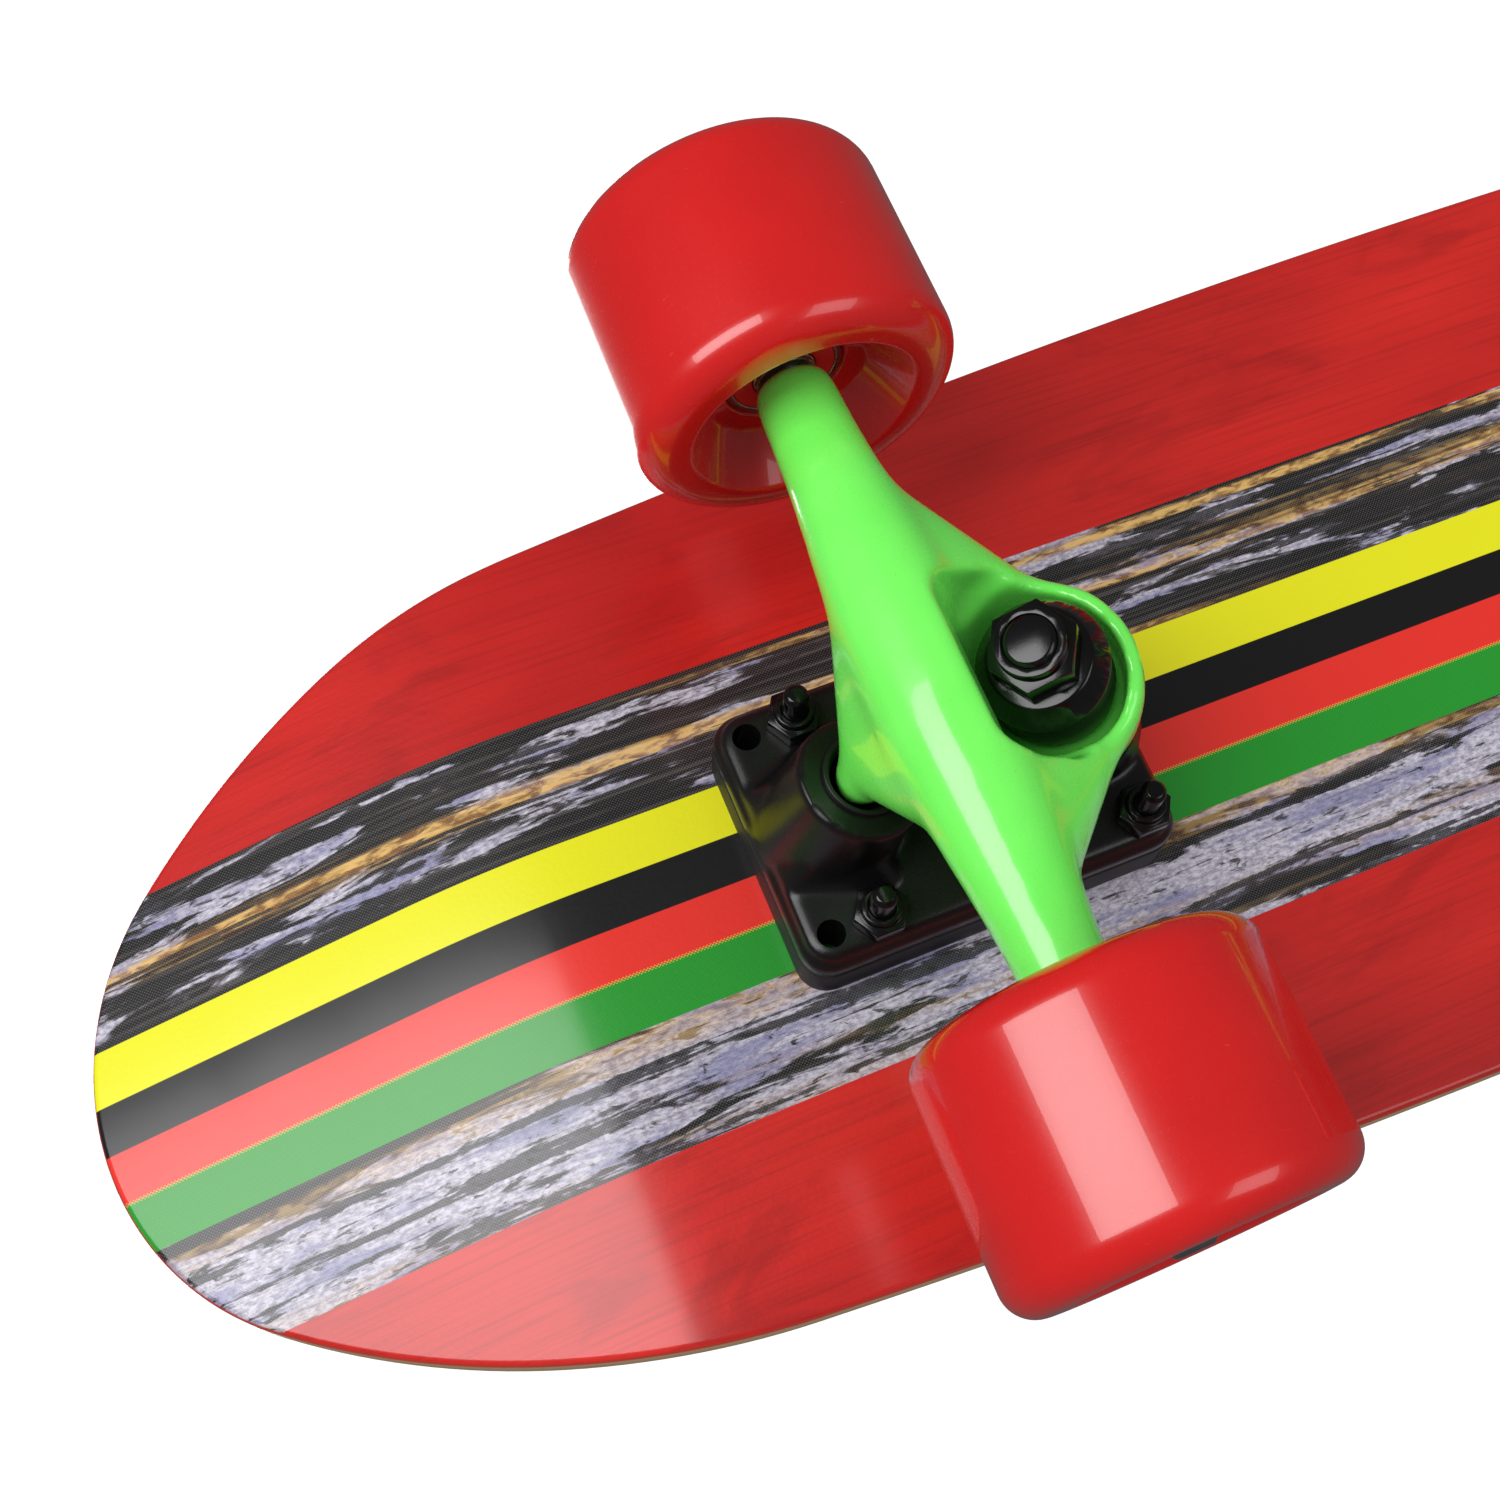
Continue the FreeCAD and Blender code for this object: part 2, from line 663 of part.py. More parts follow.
def make_hanger(side):
    """A cast hanger: two round arms, a ring around the kingpin and a nose that ends in the pivot."""
    name = "hanger_" + side
    axle = Vector(size("axle_outward"), 0, -size("axle_below"))
    arms = turned(name + "_arms", axle_place(1, 0), [
        ("0", "-hanger_half_width"), ("arm_end_radius", "-hanger_half_width"),
        ("arm_mid_radius", "-arm_mid_place"), ("arm_root_radius", "-arm_root_place"),
        ("arm_root_radius", "arm_root_place"), ("arm_mid_radius", "arm_mid_place"),
        ("arm_end_radius", "hanger_half_width"), ("0", "hanger_half_width")])
    ring = primitive("Part::Cone", name + "_ring", kingpin_place(-size("ring_below_seat")),
                     Radius1="ring_foot_radius", Radius2="ring_radius",
                     Height="ring_below_seat + ring_above_seat")
    seat = kingpin_place(0).Base
    neck_end = seat + Vector(size("neck_outward"), 0, 1)
    neck = cone_between(name + "_neck", axle, neck_end, "throat_radius", "neck_radius")
    pin = cone_between(name + "_pin", pivot_place(0).Base, axle, "pivot_radius", "neck_radius")
    nose = []
    for hand_name, hand in (("left", 1), ("right", -1)):
        nose_end = axle + Vector(0, hand * size("nose_across"), 0)
        nose.append(cone_between(f"{name}_nose_{hand_name}", pivot_place(size("nose_start")).Base,
                                 nose_end, "nose_radius", "neck_radius"))
    ball = primitive("Part::Sphere", name + "_ball", pivot_place(0), Radius="pivot_radius")
    webs = []
    for hand_name, hand in (("left", 1), ("right", -1)):
        web_start = kingpin_place(size("web_ring_height")).Base + Vector(
            size("web_ring_outward"), hand * size("web_ring_across"), 0)
        web_end = axle + Vector(0, hand * size("web_arm_across"), 0)
        webs.append(cone_between(f"{name}_web_{hand_name}", web_start, web_end,
                                 "web_ring_radius", "web_arm_radius"))
    casting = fused(name + "_casting", [arms, ring, neck, pin, ball] + nose + webs)
    above_seat = size("seat_half_thickness")
    basin = primitive("Part::Cone", name + "_basin", kingpin_place(above_seat),
                      Radius1="basin_radius", Radius2="basin_mouth_radius", Height="basin_depth")
    way_place = kingpin_place(size("nut_way_start"))
    way_place.move(way_place.Rotation.multVec(Vector(size("nut_way_offset"), 0, 0)))
    nut_way = primitive("Part::Cylinder", name + "_nut_way", way_place,
                        Radius="nut_way_radius", Height=str(FAR))
    recess = primitive("Part::Cylinder", name + "_recess", kingpin_place(-above_seat - FAR),
                       Radius="board_recess_radius", Height=str(FAR))
    eye = primitive("Part::Cylinder", name + "_eye", kingpin_place(-FAR),
                    Radius="seat_hole_radius", Height=str(2 * FAR))
    bore = primitive("Part::Cylinder", name + "_bore", axle_place(1, -2 * FAR),
                     Radius="axle_radius", Height=str(4 * FAR))
    hanger = cut_from(name, casting, [basin, nut_way, recess, eye, bore])
    hanger.Placement = truck_place(side)
    return sub_part(hanger, name)


def make_axle(side):
    place = truck_place(side).multiply(axle_place(1, 0))
    end, bevel = "axle_half_length", "(axle_half_length - thread_bevel)"
    return sub_part(turned("axle_" + side, place, [
        ("0", "-" + end), ("axle_radius - thread_bevel", "-" + end), ("axle_radius", "-" + bevel),
        ("axle_radius", bevel), ("axle_radius - thread_bevel", end), ("0", end)]), "axle_" + side)


# ---------------------------------------------------------------- wheel and its bearings

def wheel_centre():
    return size("hanger_half_width + speed_washer + bearing_width + spacer_length / 2")


def make_wheel(label, side, hand):
    """A poured wheel: round lips, cone-shaped recesses and a stepped bore for two bearings."""
    place = truck_place(side).multiply(axle_place(hand, wheel_centre()))
    seat = "spacer_length / 2"
    corners = [("hub_step_radius", f"-{seat}"), ("hub_bore_radius", f"-{seat}"),
               ("hub_bore_radius", "-hub_half_width"), ("hub_face_radius", "-hub_half_width"),
               ("wheel_recess_radius", "-(wheel_half_width - 1)"),
               ("wheel_recess_radius + 1.5", "-wheel_half_width"),
               ("wheel_radius - wheel_lip", "-wheel_half_width"),
               ("wheel_radius - wheel_lip * 0.3", "-(wheel_half_width - wheel_lip * 0.3)"),
               ("wheel_radius", "-(wheel_half_width - wheel_lip)")]
    other_side = [(radius, upward[1:]) for radius, upward in reversed(corners)]
    return sub_part(turned(label, place, corners + other_side), label)


def bearing_places(side, hand):
    """Middles of a wheel's two bearings."""
    step = size("(spacer_length + bearing_width) / 2")
    return [truck_place(side).multiply(axle_place(hand, wheel_centre() + way * step))
            for way in (-1, 1)]


def make_race(label, side, hand, inner, outer):
    half = "bearing_width / 2"
    ring = turned(label + "_one", Placement(), [
        (inner, f"-{half}"), (outer, f"-{half}"), (outer, half), (inner, half)])
    return sub_part(group(label, ring, bearing_places(side, hand)), label)


def make_balls(label, side, hand):
    ball = primitive("Part::Sphere", label + "_one", Placement(), Radius="ball_radius")
    spots = []
    for middle in bearing_places(side, hand):
        for number in range(BALLS_PER_BEARING):
            angle = 2 * math.pi * number / BALLS_PER_BEARING
            out = Vector(math.cos(angle), math.sin(angle), 0) * size("ball_circle")
            spots.append(middle.multiply(Placement(out, Rotation())))
    return sub_part(group(label, ball, spots), label)


def make_seals(label, side, hand):
    inner, outer = "inner_race_radius + seal_gap", "outer_race_bore - 0.02"
    ring = turned(label + "_one", Placement(), [
        (inner, "0"), (outer, "0"), (outer, "seal_thickness"), (inner, "seal_thickness")])
    half = size("bearing_width / 2")
    spots = []
    for middle in bearing_places(side, hand):
        for start in (-half + size("seal_inset"), half - size("seal_inset + seal_thickness")):
            spots.append(middle.multiply(Placement(Vector(0, 0, start), Rotation())))
    return sub_part(group(label, ring, spots), label)


def make_tube(label, place, inner, outer, length):
    return turned(label, place, [(inner, "0"), (outer, "0"), (outer, length), (inner, length)])


def make_spacer(label, side, hand):
    start = wheel_centre() - size("spacer_length / 2")
    place = truck_place(side).multiply(axle_place(hand, start))
    return sub_part(make_tube(label, place, "bearing_bore", "spacer_radius", "spacer_length"), label)


def make_speed_washers(label, side, hand):
    ring = make_tube(label + "_one", Placement(), "bearing_bore", "speed_washer_radius",
                     "speed_washer")
    inside = size("hanger_half_width")
    outside = wheel_centre() + size("spacer_length / 2 + bearing_width")
    spots = [truck_place(side).multiply(axle_place(hand, start)) for start in (inside, outside)]
    return sub_part(group(label, ring, spots), label)


def make_axle_nut(label, side, hand):
    start = wheel_centre() + size("spacer_length / 2 + bearing_width + speed_washer")
    place = truck_place(side).multiply(axle_place(hand, start))
    return sub_part(hex_nut(label, place, "axle_nut_flats", "axle_nut_height", "axle_radius"), label)


# ---------------------------------------------------------------- the whole board

make_deck()
make_grip_tape()
for end in ("front", "rear"):
    make_riser_pad(end)
    make_baseplate(end)
    make_pivot_cup(end)
    make_kingpin(end)
    make_deck_bolts(end)
    make_deck_nuts(end)
    bushing("board_bushing", end, "-(seat_half_thickness + board_bushing_length)",
            [("board_bushing_foot_radius", "0"), ("board_bushing_top_radius", "board_bushing_length")])
    bushing("road_bushing", end, "seat_half_thickness",
            [("road_bushing_base_radius", "0"), ("road_bushing_radius", "road_bushing_belly"),
             ("road_bushing_radius", "road_bushing_shoulder"),
             ("road_bushing_neck_radius", "road_bushing_neck"),
             ("road_bushing_top_radius", "road_bushing_length")])
    cup_washer("board_washer", end, "-(seat_half_thickness + board_bushing_length + washer_sheet)",
               "board_washer_depth", "board_washer_radius", "board_washer_flat", True)
    nut_start = "seat_half_thickness + road_bushing_length + washer_sheet"
    cup_washer("road_washer", end, nut_start, "road_washer_depth", "road_washer_radius",
               "road_washer_flat", False)
    nut_place = truck_place(end).multiply(kingpin_place(size(nut_start)))
    sub_part(hex_nut("kingpin_nut_" + end, nut_place, "kingpin_flats", "kingpin_nut_height",
                     "kingpin_radius"), "kingpin_nut_" + end)
    make_hanger(end)
    make_axle(end)
    for hand_name, hand in (("left", 1), ("right", -1)):
        local_hand = hand if end == "front" else -hand
        tag = f"_{end}_{hand_name}"
        make_wheel("wheel" + tag, end, local_hand)
        make_race("outer_races" + tag, end, local_hand, "outer_race_bore", "bearing_radius")
        make_race("inner_races" + tag, end, local_hand, "bearing_bore", "inner_race_radius")
        make_balls("balls" + tag, end, local_hand)
        make_seals("bearing_seals" + tag, end, local_hand)
        make_spacer("bearing_spacer" + tag, end, local_hand)
        make_speed_washers("speed_washers" + tag, end, local_hand)
        make_axle_nut("axle_nut" + tag, end, local_hand)
doc.recompute()

# ---------------------------------------------------------------- check and write

for thing in doc.Objects:
    if "Invalid" in thing.State or "Error" in thing.State:
        raise RuntimeError(f"{thing.Name} did not compute: {thing.State}")
for piece in SUB_PARTS:
    if piece.Shape.isNull() or not piece.Shape.isValid():
        raise RuntimeError(f"{piece.Label} has no valid shape")
os.makedirs("parts", exist_ok=True)
for piece in SUB_PARTS:
    piece.Shape.exportStep(f"parts/{piece.Label}.step")
print(len(SUB_PARTS), "sub-parts written")
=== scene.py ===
# %% [markdown]
# # A mini cruiser skateboard
#
# The board is seen from below: a red stained deck with a printed centre panel, a bright green
# cast hanger, a black baseplate and glossy red wheels. The imported CAD model is the frame that
# every piece here is built around, so the first step loads it.

# %% Load the frame
import json
import math

import bmesh
import bpy
from mathutils import Matrix, Vector


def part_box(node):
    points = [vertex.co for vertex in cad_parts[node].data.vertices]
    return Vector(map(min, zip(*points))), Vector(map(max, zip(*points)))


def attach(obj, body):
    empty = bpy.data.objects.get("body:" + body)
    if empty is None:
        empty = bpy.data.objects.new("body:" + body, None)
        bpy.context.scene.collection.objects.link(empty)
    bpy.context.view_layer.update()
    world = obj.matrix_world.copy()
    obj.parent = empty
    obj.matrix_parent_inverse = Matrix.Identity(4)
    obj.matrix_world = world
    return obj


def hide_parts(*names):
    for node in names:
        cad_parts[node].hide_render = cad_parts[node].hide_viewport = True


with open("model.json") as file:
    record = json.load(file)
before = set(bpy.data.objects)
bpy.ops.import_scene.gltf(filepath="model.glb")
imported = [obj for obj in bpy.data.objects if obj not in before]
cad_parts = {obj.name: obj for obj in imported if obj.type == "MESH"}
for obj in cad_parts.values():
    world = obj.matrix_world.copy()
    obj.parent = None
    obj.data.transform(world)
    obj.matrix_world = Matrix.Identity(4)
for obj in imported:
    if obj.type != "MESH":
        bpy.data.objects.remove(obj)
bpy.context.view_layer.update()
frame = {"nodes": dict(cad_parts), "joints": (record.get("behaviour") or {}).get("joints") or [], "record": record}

MM = 0.001
print("nodes in the frame:", len(frame["nodes"]))

# %% [markdown]
# ## Where things are
#
# A maker measures from datum points: the deck's underside, the middle of each bolt pattern, the
# wheel centres. Most are read from the frame's joints and boxes, so they follow a change of the
# design. The plate's ends, the pivot and the kingpin's lean are repeated here from the CAD model.
# Each truck has its own local frame, with X towards its end of the board, and is built twice.

# %% Read the datum points
joints = {joint["name"]: joint for joint in frame["joints"]}
deck_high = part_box("deck")[1]
riser_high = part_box("riser_pad_front")[1]
wheel_low, wheel_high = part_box("wheel_front_left")
underside = riser_high.z / MM
half_length = deck_high.x / MM
half_width = deck_high.y / MM
wheel_radius = (wheel_high.z - wheel_low.z) / 2 / MM
wheel_half_width = (wheel_high.y - wheel_low.y) / 2 / MM
wheel_out = joints["roll_front_left"]["pos_m"][1] / MM
plate_outer, plate_inner = 38.0, 39.0
truck_out = riser_high.x / MM - plate_outer
seat = Vector(joints["steer_front"]["pos_m"]) / MM - Vector((truck_out, 0, underside))
axle = Vector(joints["roll_front_left"]["pos_m"]) / MM - Vector((truck_out, wheel_out, underside))
pivot = Vector((18.5, 0, -31))
KINGPIN_LEAN = 20.0
print("deck", half_length, "x", half_width, "mm, truck", truck_out, "mm out, axle", tuple(axle))


def truck_frame(end):
    """Local millimetres of a truck to the row's metres."""
    side = 1 if end == "front" else -1
    turn = Matrix.Rotation(0 if side > 0 else math.pi, 4, "Z")
    return Matrix.Translation((side * truck_out * MM, 0, underside * MM)) @ turn @ Matrix.Scale(MM, 4)


def along_kingpin(distance):
    """Local frame on the kingpin, with Z towards the road, from the bushing seat's middle."""
    lean = Matrix.Rotation(math.radians(180 - KINGPIN_LEAN), 4, "Y")
    return Matrix.Translation(seat) @ lean @ Matrix.Translation((0, 0, distance))


def along_pivot(distance):
    """Local frame on the pivot pin, with Z from its ball towards the axle."""
    lean = (axle - pivot).to_track_quat("Z", "Y").to_matrix().to_4x4()
    return Matrix.Translation(pivot) @ lean @ Matrix.Translation((0, 0, distance))


def along_axle(hand, distance):
    """Local frame on the axle, with Z outwards."""
    turn = Matrix.Rotation(math.radians(-90 * hand), 4, "X")
    return Matrix.Translation((axle.x, hand * distance, axle.z)) @ turn


# %% [markdown]
# ## Ways of making a shape
#
# Most pieces of a truck are turned or cast. A turned piece is a profile spun about an axis, as on a
# lathe. Its sharp edges are then bevelled, because a real edge always catches a thin line of light.
# Plain cones, blocks and hulls around balls are the stock that the castings are put together from.

# %% Turned and drawn solids
def spun(profile, steps, closed=False):
    """A bmesh from (radius, height) corners spun about Z. A closed profile makes a ring."""
    mesh = bmesh.new()
    points = [mesh.verts.new((radius, 0, height)) for radius, height in profile]
    pairs = list(zip(points, points[1:])) + ([(points[-1], points[0])] if closed else [])
    lines = [mesh.edges.new(pair) for pair in pairs]
    bmesh.ops.spin(mesh, geom=points + lines, cent=(0, 0, 0), axis=(0, 0, 1),
                   angle=2 * math.pi, steps=steps, use_merge=True)
    bmesh.ops.remove_doubles(mesh, verts=mesh.verts, dist=1e-4)
    bmesh.ops.dissolve_degenerate(mesh, edges=mesh.edges, dist=1e-5)
    bmesh.ops.recalc_face_normals(mesh, faces=mesh.faces)
    return mesh


def soften(mesh, width, angle=28):
    """Bevels every edge that is sharper than the angle."""
    limit = math.radians(angle)
    sharp = [edge for edge in mesh.edges
             if len(edge.link_faces) == 2 and edge.calc_face_angle(0) > limit]
    if sharp:
        bmesh.ops.bevel(mesh, geom=sharp, offset=width, segments=2, profile=0.5,
                        affect="EDGES", material=-1, clamp_overlap=True)
    return mesh


def moved(mesh, matrix):
    """The mesh itself, put somewhere else."""
    bmesh.ops.transform(mesh, matrix=matrix, verts=mesh.verts)
    return mesh


def joined(meshes):
    """One bmesh from several, which are freed."""
    whole = bmesh.new()
    holder = bpy.data.meshes.new("holder")
    for mesh in meshes:
        mesh.to_mesh(holder)
        whole.from_mesh(holder)
        mesh.free()
    bpy.data.meshes.remove(holder)
    return whole


def cone(radius_low, radius_high, height, sides=64):
    """An upright cone frustum from z = 0."""
    mesh = bmesh.new()
    bmesh.ops.create_cone(mesh, cap_ends=True, segments=sides, radius1=radius_low,
                          radius2=radius_high, depth=height,
                          matrix=Matrix.Translation((0, 0, height / 2)))
    return mesh


def prism(sides, radius, height):
    """An upright prism from z = 0."""
    return cone(radius, radius, height, sides)


def block(low, high):
    """A box between two corners."""
    mesh = bmesh.new()
    low, high = Vector(low), Vector(high)
    place = Matrix.Translation((low + high) / 2) @ Matrix.Diagonal((*(high - low), 1))
    bmesh.ops.create_cube(mesh, size=1, matrix=place)
    return mesh


def lump(*balls):
    """The convex skin around balls, each a centre and a radius."""
    mesh = bmesh.new()
    for centre, radius in balls:
        bmesh.ops.create_uvsphere(mesh, u_segments=24, v_segments=14, radius=radius,
                                  matrix=Matrix.Translation(centre))
    bmesh.ops.delete(mesh, geom=mesh.edges[:], context="EDGES_FACES")
    hull = bmesh.ops.convex_hull(mesh, input=mesh.verts)
    inner = [item for item in hull["geom_interior"] if isinstance(item, bmesh.types.BMVert)]
    bmesh.ops.delete(mesh, geom=inner, context="VERTS")
    bmesh.ops.recalc_face_normals(mesh, faces=mesh.faces)
    return mesh


sample = lump(((0, 0, 0), 2), ((8, 0, 0), 1))
print("a lump around two balls has", len(sample.faces), "faces")
sample.free()

# %% [markdown]
# A casting is several rough lumps melted into one skin. A voxel remesh joins them, and smoothing
# rolls the corners into fillets, as a pattern maker fills them with wax. Bores are cut with one
# tool after another, because tools that overlap confuse the cut.

# %% Melting and carving
def applied(mesh, add_modifiers):
    """The bmesh after modifiers that add_modifiers puts on a scratch object."""
    data = bpy.data.meshes.new("scratch")
    mesh.to_mesh(data)
    mesh.free()
    scratch = bpy.data.objects.new("scratch", data)
    bpy.context.scene.collection.objects.link(scratch)
    helpers = add_modifiers(scratch) or []
    depsgraph = bpy.context.evaluated_depsgraph_get()
    result = bmesh.new()
    result.from_mesh(scratch.evaluated_get(depsgraph).to_mesh())
    for thing in [scratch] + helpers:
        bpy.data.objects.remove(thing)
    return result


def skinned(mesh, voxel):
    """Melts overlapping shells into one skin."""
    def add(scratch):
        remesh = scratch.modifiers.new("skin", "REMESH")
        remesh.mode = "VOXEL"
        remesh.voxel_size = voxel
    return applied(mesh, add)


def carved(mesh, *cutters):
    """The mesh with each cutter's volume taken away."""
    for cutter in cutters:
        mesh = carved_once(mesh, cutter)
    return mesh


def carved_once(mesh, cutter):
    """The mesh with one cutter's volume taken away."""
    def add(scratch):
        data = bpy.data.meshes.new("cutter")
        cutter.to_mesh(data)
        cutter.free()
        tool = bpy.data.objects.new("cutter", data)
        bpy.context.scene.collection.objects.link(tool)
        boolean = scratch.modifiers.new("carve", "BOOLEAN")
        boolean.operation = "DIFFERENCE"
        boolean.solver = "EXACT"
        boolean.object = tool
        return [tool]
    return applied(mesh, add)


def relaxed(mesh, times):
    """Smooths the skin a number of times: more rounds make wider fillets."""
    for _ in range(times):
        bmesh.ops.smooth_vert(mesh, verts=mesh.verts, factor=0.5, use_axis_x=True,
                              use_axis_y=True, use_axis_z=True)
    return mesh


sample = carved(block((-5, -5, 0), (5, 5, 4)), prism(32, 2, 4))
print("a drilled block has", len(sample.faces), "faces")
sample.free()


# %% [markdown]
# A finished piece has its place in its mesh, rides on one body of the frame, takes the finish of a
# slot and hides the CAD nodes it stands for.

# %% Put a piece in the scene
def piece(name, mesh, matrix, material, body, nodes=(), smooth_angle=35):
    """Makes the object, parents it to its body and hides the CAD nodes it replaces."""
    moved(mesh, matrix)
    data = bpy.data.meshes.new(name)
    mesh.to_mesh(data)
    mesh.free()
    made = bpy.data.objects.new(name, data)
    bpy.context.scene.collection.objects.link(made)
    data.materials.append(material)
    data.polygons.foreach_set("use_smooth", [True] * len(data.polygons))
    data.set_sharp_from_angle(angle=math.radians(smooth_angle))
    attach(made, body)
    if nodes:
        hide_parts(*nodes)
    return made


def faced_copy(node, width):
    """A CAD node's mesh, merged and with its edges softened, in metres."""
    mesh = bmesh.new()
    mesh.from_mesh(frame["nodes"][node].data)
    bmesh.ops.remove_doubles(mesh, verts=mesh.verts, dist=1e-6)
    bmesh.ops.dissolve_limit(mesh, angle_limit=math.radians(1), verts=mesh.verts,
                             edges=mesh.edges)
    return soften(mesh, width * MM)


# %% [markdown]
# ## Writing a material as sums
#
# A procedural material is arithmetic on patterns. Wrapping a socket in a small class lets the sums
# be written as Python, and the class adds the Math nodes. Patterns are sized in millimetres, on
# Object coordinates, so a grain keeps its real scale on every piece.

# %% The signal and finish classes
class Signal:
    """A number that varies over a surface."""

    def __init__(self, finish, socket):
        self.finish = finish
        self.socket = socket

    def sum_with(self, operation, *values):
        settings = {"operation": operation}
        return self.finish.node("ShaderNodeMath", settings, dict(enumerate(values)))

    def __add__(self, other):
        return self.sum_with("ADD", self, other)

    def __radd__(self, other):
        return self.sum_with("ADD", other, self)

    def __sub__(self, other):
        return self.sum_with("SUBTRACT", self, other)

    def __rsub__(self, other):
        return self.sum_with("SUBTRACT", other, self)

    def __mul__(self, other):
        return self.sum_with("MULTIPLY", self, other)

    def __gt__(self, other):
        return self.sum_with("GREATER_THAN", self, other)

    def absolute(self):
        return self.sum_with("ABSOLUTE", self)

    def sine(self):
        return self.sum_with("SINE", self)

    def ramp(self, low, high, to_low=0.0, to_high=1.0):
        """The signal stretched from low..high to to_low..to_high, smoothly and clamped."""
        settings = {"interpolation_type": "SMOOTHSTEP"}
        values = {"Value": self, "From Min": low, "From Max": high,
                  "To Min": to_low, "To Max": to_high}
        return self.finish.node("ShaderNodeMapRange", settings, values)


class Finish:
    """A material under construction."""

    def __init__(self, name, **constants):
        self.material = bpy.data.materials.new(name)
        self.material.use_nodes = True
        self.tree = self.material.node_tree
        self.shader = self.tree.nodes["Principled BSDF"]
        self.surface(**constants)

    def node(self, kind, settings=None, values=None, output=0):
        """Any node: its settings first, then its inputs, linked or set."""
        made = self.tree.nodes.new(kind)
        for name, setting in (settings or {}).items():
            setattr(made, name, setting)
        for name, value in (values or {}).items():
            if isinstance(value, Signal):
                self.tree.links.new(value.socket, made.inputs[name])
            else:
                made.inputs[name].default_value = value
        return Signal(self, made.outputs[output])

    def surface(self, **values):
        """Sets or links the shader's sockets: base_color becomes Base Color."""
        for name, value in values.items():
            socket = self.shader.inputs[name.replace("_", " ").title().replace("Ior", "IOR")]
            if isinstance(value, Signal):
                self.tree.links.new(value.socket, socket)
            elif isinstance(value, tuple):
                socket.default_value = (*value, 1) if len(value) == 3 else value
            else:
                socket.default_value = value
        return self

    def place(self, stretch=(1, 1, 1)):
        """Object coordinates in millimetres, stretched."""
        spot = self.node("ShaderNodeTexCoord", output=3)
        scale = tuple(part / MM for part in stretch)
        return self.node("ShaderNodeMapping", {}, {"Vector": spot, "Scale": scale})

    def unbent(self, stretch=(1, 1, 1)):
        """The deck's own flat coordinates, in millimetres, stretched."""
        spot = self.node("ShaderNodeAttribute", {"attribute_name": "flat_place"}, output=1)
        return self.node("ShaderNodeMapping", {}, {"Vector": spot, "Scale": stretch})

    def axis(self, vector, letter):
        """One part of a vector."""
        return self.node("ShaderNodeSeparateXYZ", {}, {"Vector": vector}, "XYZ".index(letter))

    def noise(self, vector, scale, detail=3.0, rough=0.5, warp=0.0):
        values = {"Vector": vector, "Scale": scale, "Detail": detail, "Roughness": rough,
                  "Distortion": warp}
        return self.node("ShaderNodeTexNoise", {}, values)

    def cells(self, vector, scale, output=0):
        return self.node("ShaderNodeTexVoronoi", {}, {"Vector": vector, "Scale": scale}, output)

    def mix(self, share, first, second):
        """Two colours mixed; the Mix node's colour sockets are its seventh and eighth."""
        settings = {"data_type": "RGBA"}
        values = {0: share, 6: first if isinstance(first, Signal) else (*first, 1),
                  7: second if isinstance(second, Signal) else (*second, 1)}
        return self.node("ShaderNodeMix", settings, values, 2)

    def bump(self, height, distance):
        """A bump from a height signal; the distance is in millimetres."""
        values = {"Height": height, "Distance": distance * MM}
        return self.surface(normal=self.node("ShaderNodeBump", {}, values))


def linear(red, green, blue):
    """A colour as a painter picks it, from 0 to 255, as the light it returns."""
    def channel(value):
        share = value / 255
        return share / 12.92 if share <= 0.04045 else ((share + 0.055) / 1.055) ** 2.4
    return tuple(channel(value) for value in (red, green, blue))


print("middle grey returns", round(linear(128, 128, 128)[0], 3), "of the light")

# %% [markdown]
# ## Finishes
#
# Cast urethane is glossy with faint clouding and hairline scuffs. The green powder coat is smooth
# with a slight orange peel and a little dust baked in. The baseplate has a satin coat over a fine
# cast grain. A clear coat over a softer base gives each gloss its sharp and its broad reflection.

# %% Urethane and paint
def urethane():
    finish = Finish("wheel_urethane", coat_weight=0.6, coat_roughness=0.03)
    spot = finish.place()
    cloud = finish.noise(spot, 0.05, 4)
    fine = finish.noise(spot, 1.6, 2)
    scuff = finish.noise(finish.place((0.25, 1.2, 0.25)), 0.9, 6, 0.7)
    lines = scuff.ramp(0.66, 0.74)
    colour = finish.mix(cloud, linear(186, 13, 15), linear(204, 20, 18))
    colour = finish.mix(lines * 0.16, colour, linear(238, 120, 112))
    finish.surface(base_color=colour, roughness=0.22 + fine * 0.08 + lines * 0.12)
    return finish.bump(fine * 0.3 + cloud, 0.015).material


def green_coat():
    finish = Finish("green_powder_coat", coat_weight=0.7, coat_roughness=0.06)
    spot = finish.place()
    peel = finish.noise(spot, 0.9, 2)
    cloud = finish.noise(spot, 0.06, 3)
    dust = finish.cells(spot, 0.55).ramp(0.05, 0.1, 1, 0)
    keep = finish.noise(spot, 0.13, 2).ramp(0.58, 0.66)
    colour = finish.mix(cloud, linear(98, 232, 78), linear(124, 246, 100))
    colour = finish.mix(dust * keep * 0.35, colour, linear(40, 120, 34))
    finish.surface(base_color=colour, roughness=0.24 + peel * 0.08)
    return finish.bump(peel, 0.02).material


def black_coat(name="black_cast_coat", rough=0.24, grain=0.025, tone=11):
    finish = Finish(name)
    spot = finish.place()
    fine = finish.noise(spot, 3.5, 3, 0.6)
    cloud = finish.noise(spot, 0.1, 3)
    rub = finish.noise(spot, 0.5, 5, 0.7).ramp(0.62, 0.75)
    colour = finish.mix(cloud, linear(tone, tone, tone), linear(tone + 7, tone + 7, tone + 8))
    colour = finish.mix(rub * 0.25, colour, linear(48, 47, 45))
    finish.surface(base_color=colour, roughness=rough + fine * 0.1 + rub * 0.08)
    return finish.bump(fine, grain).material
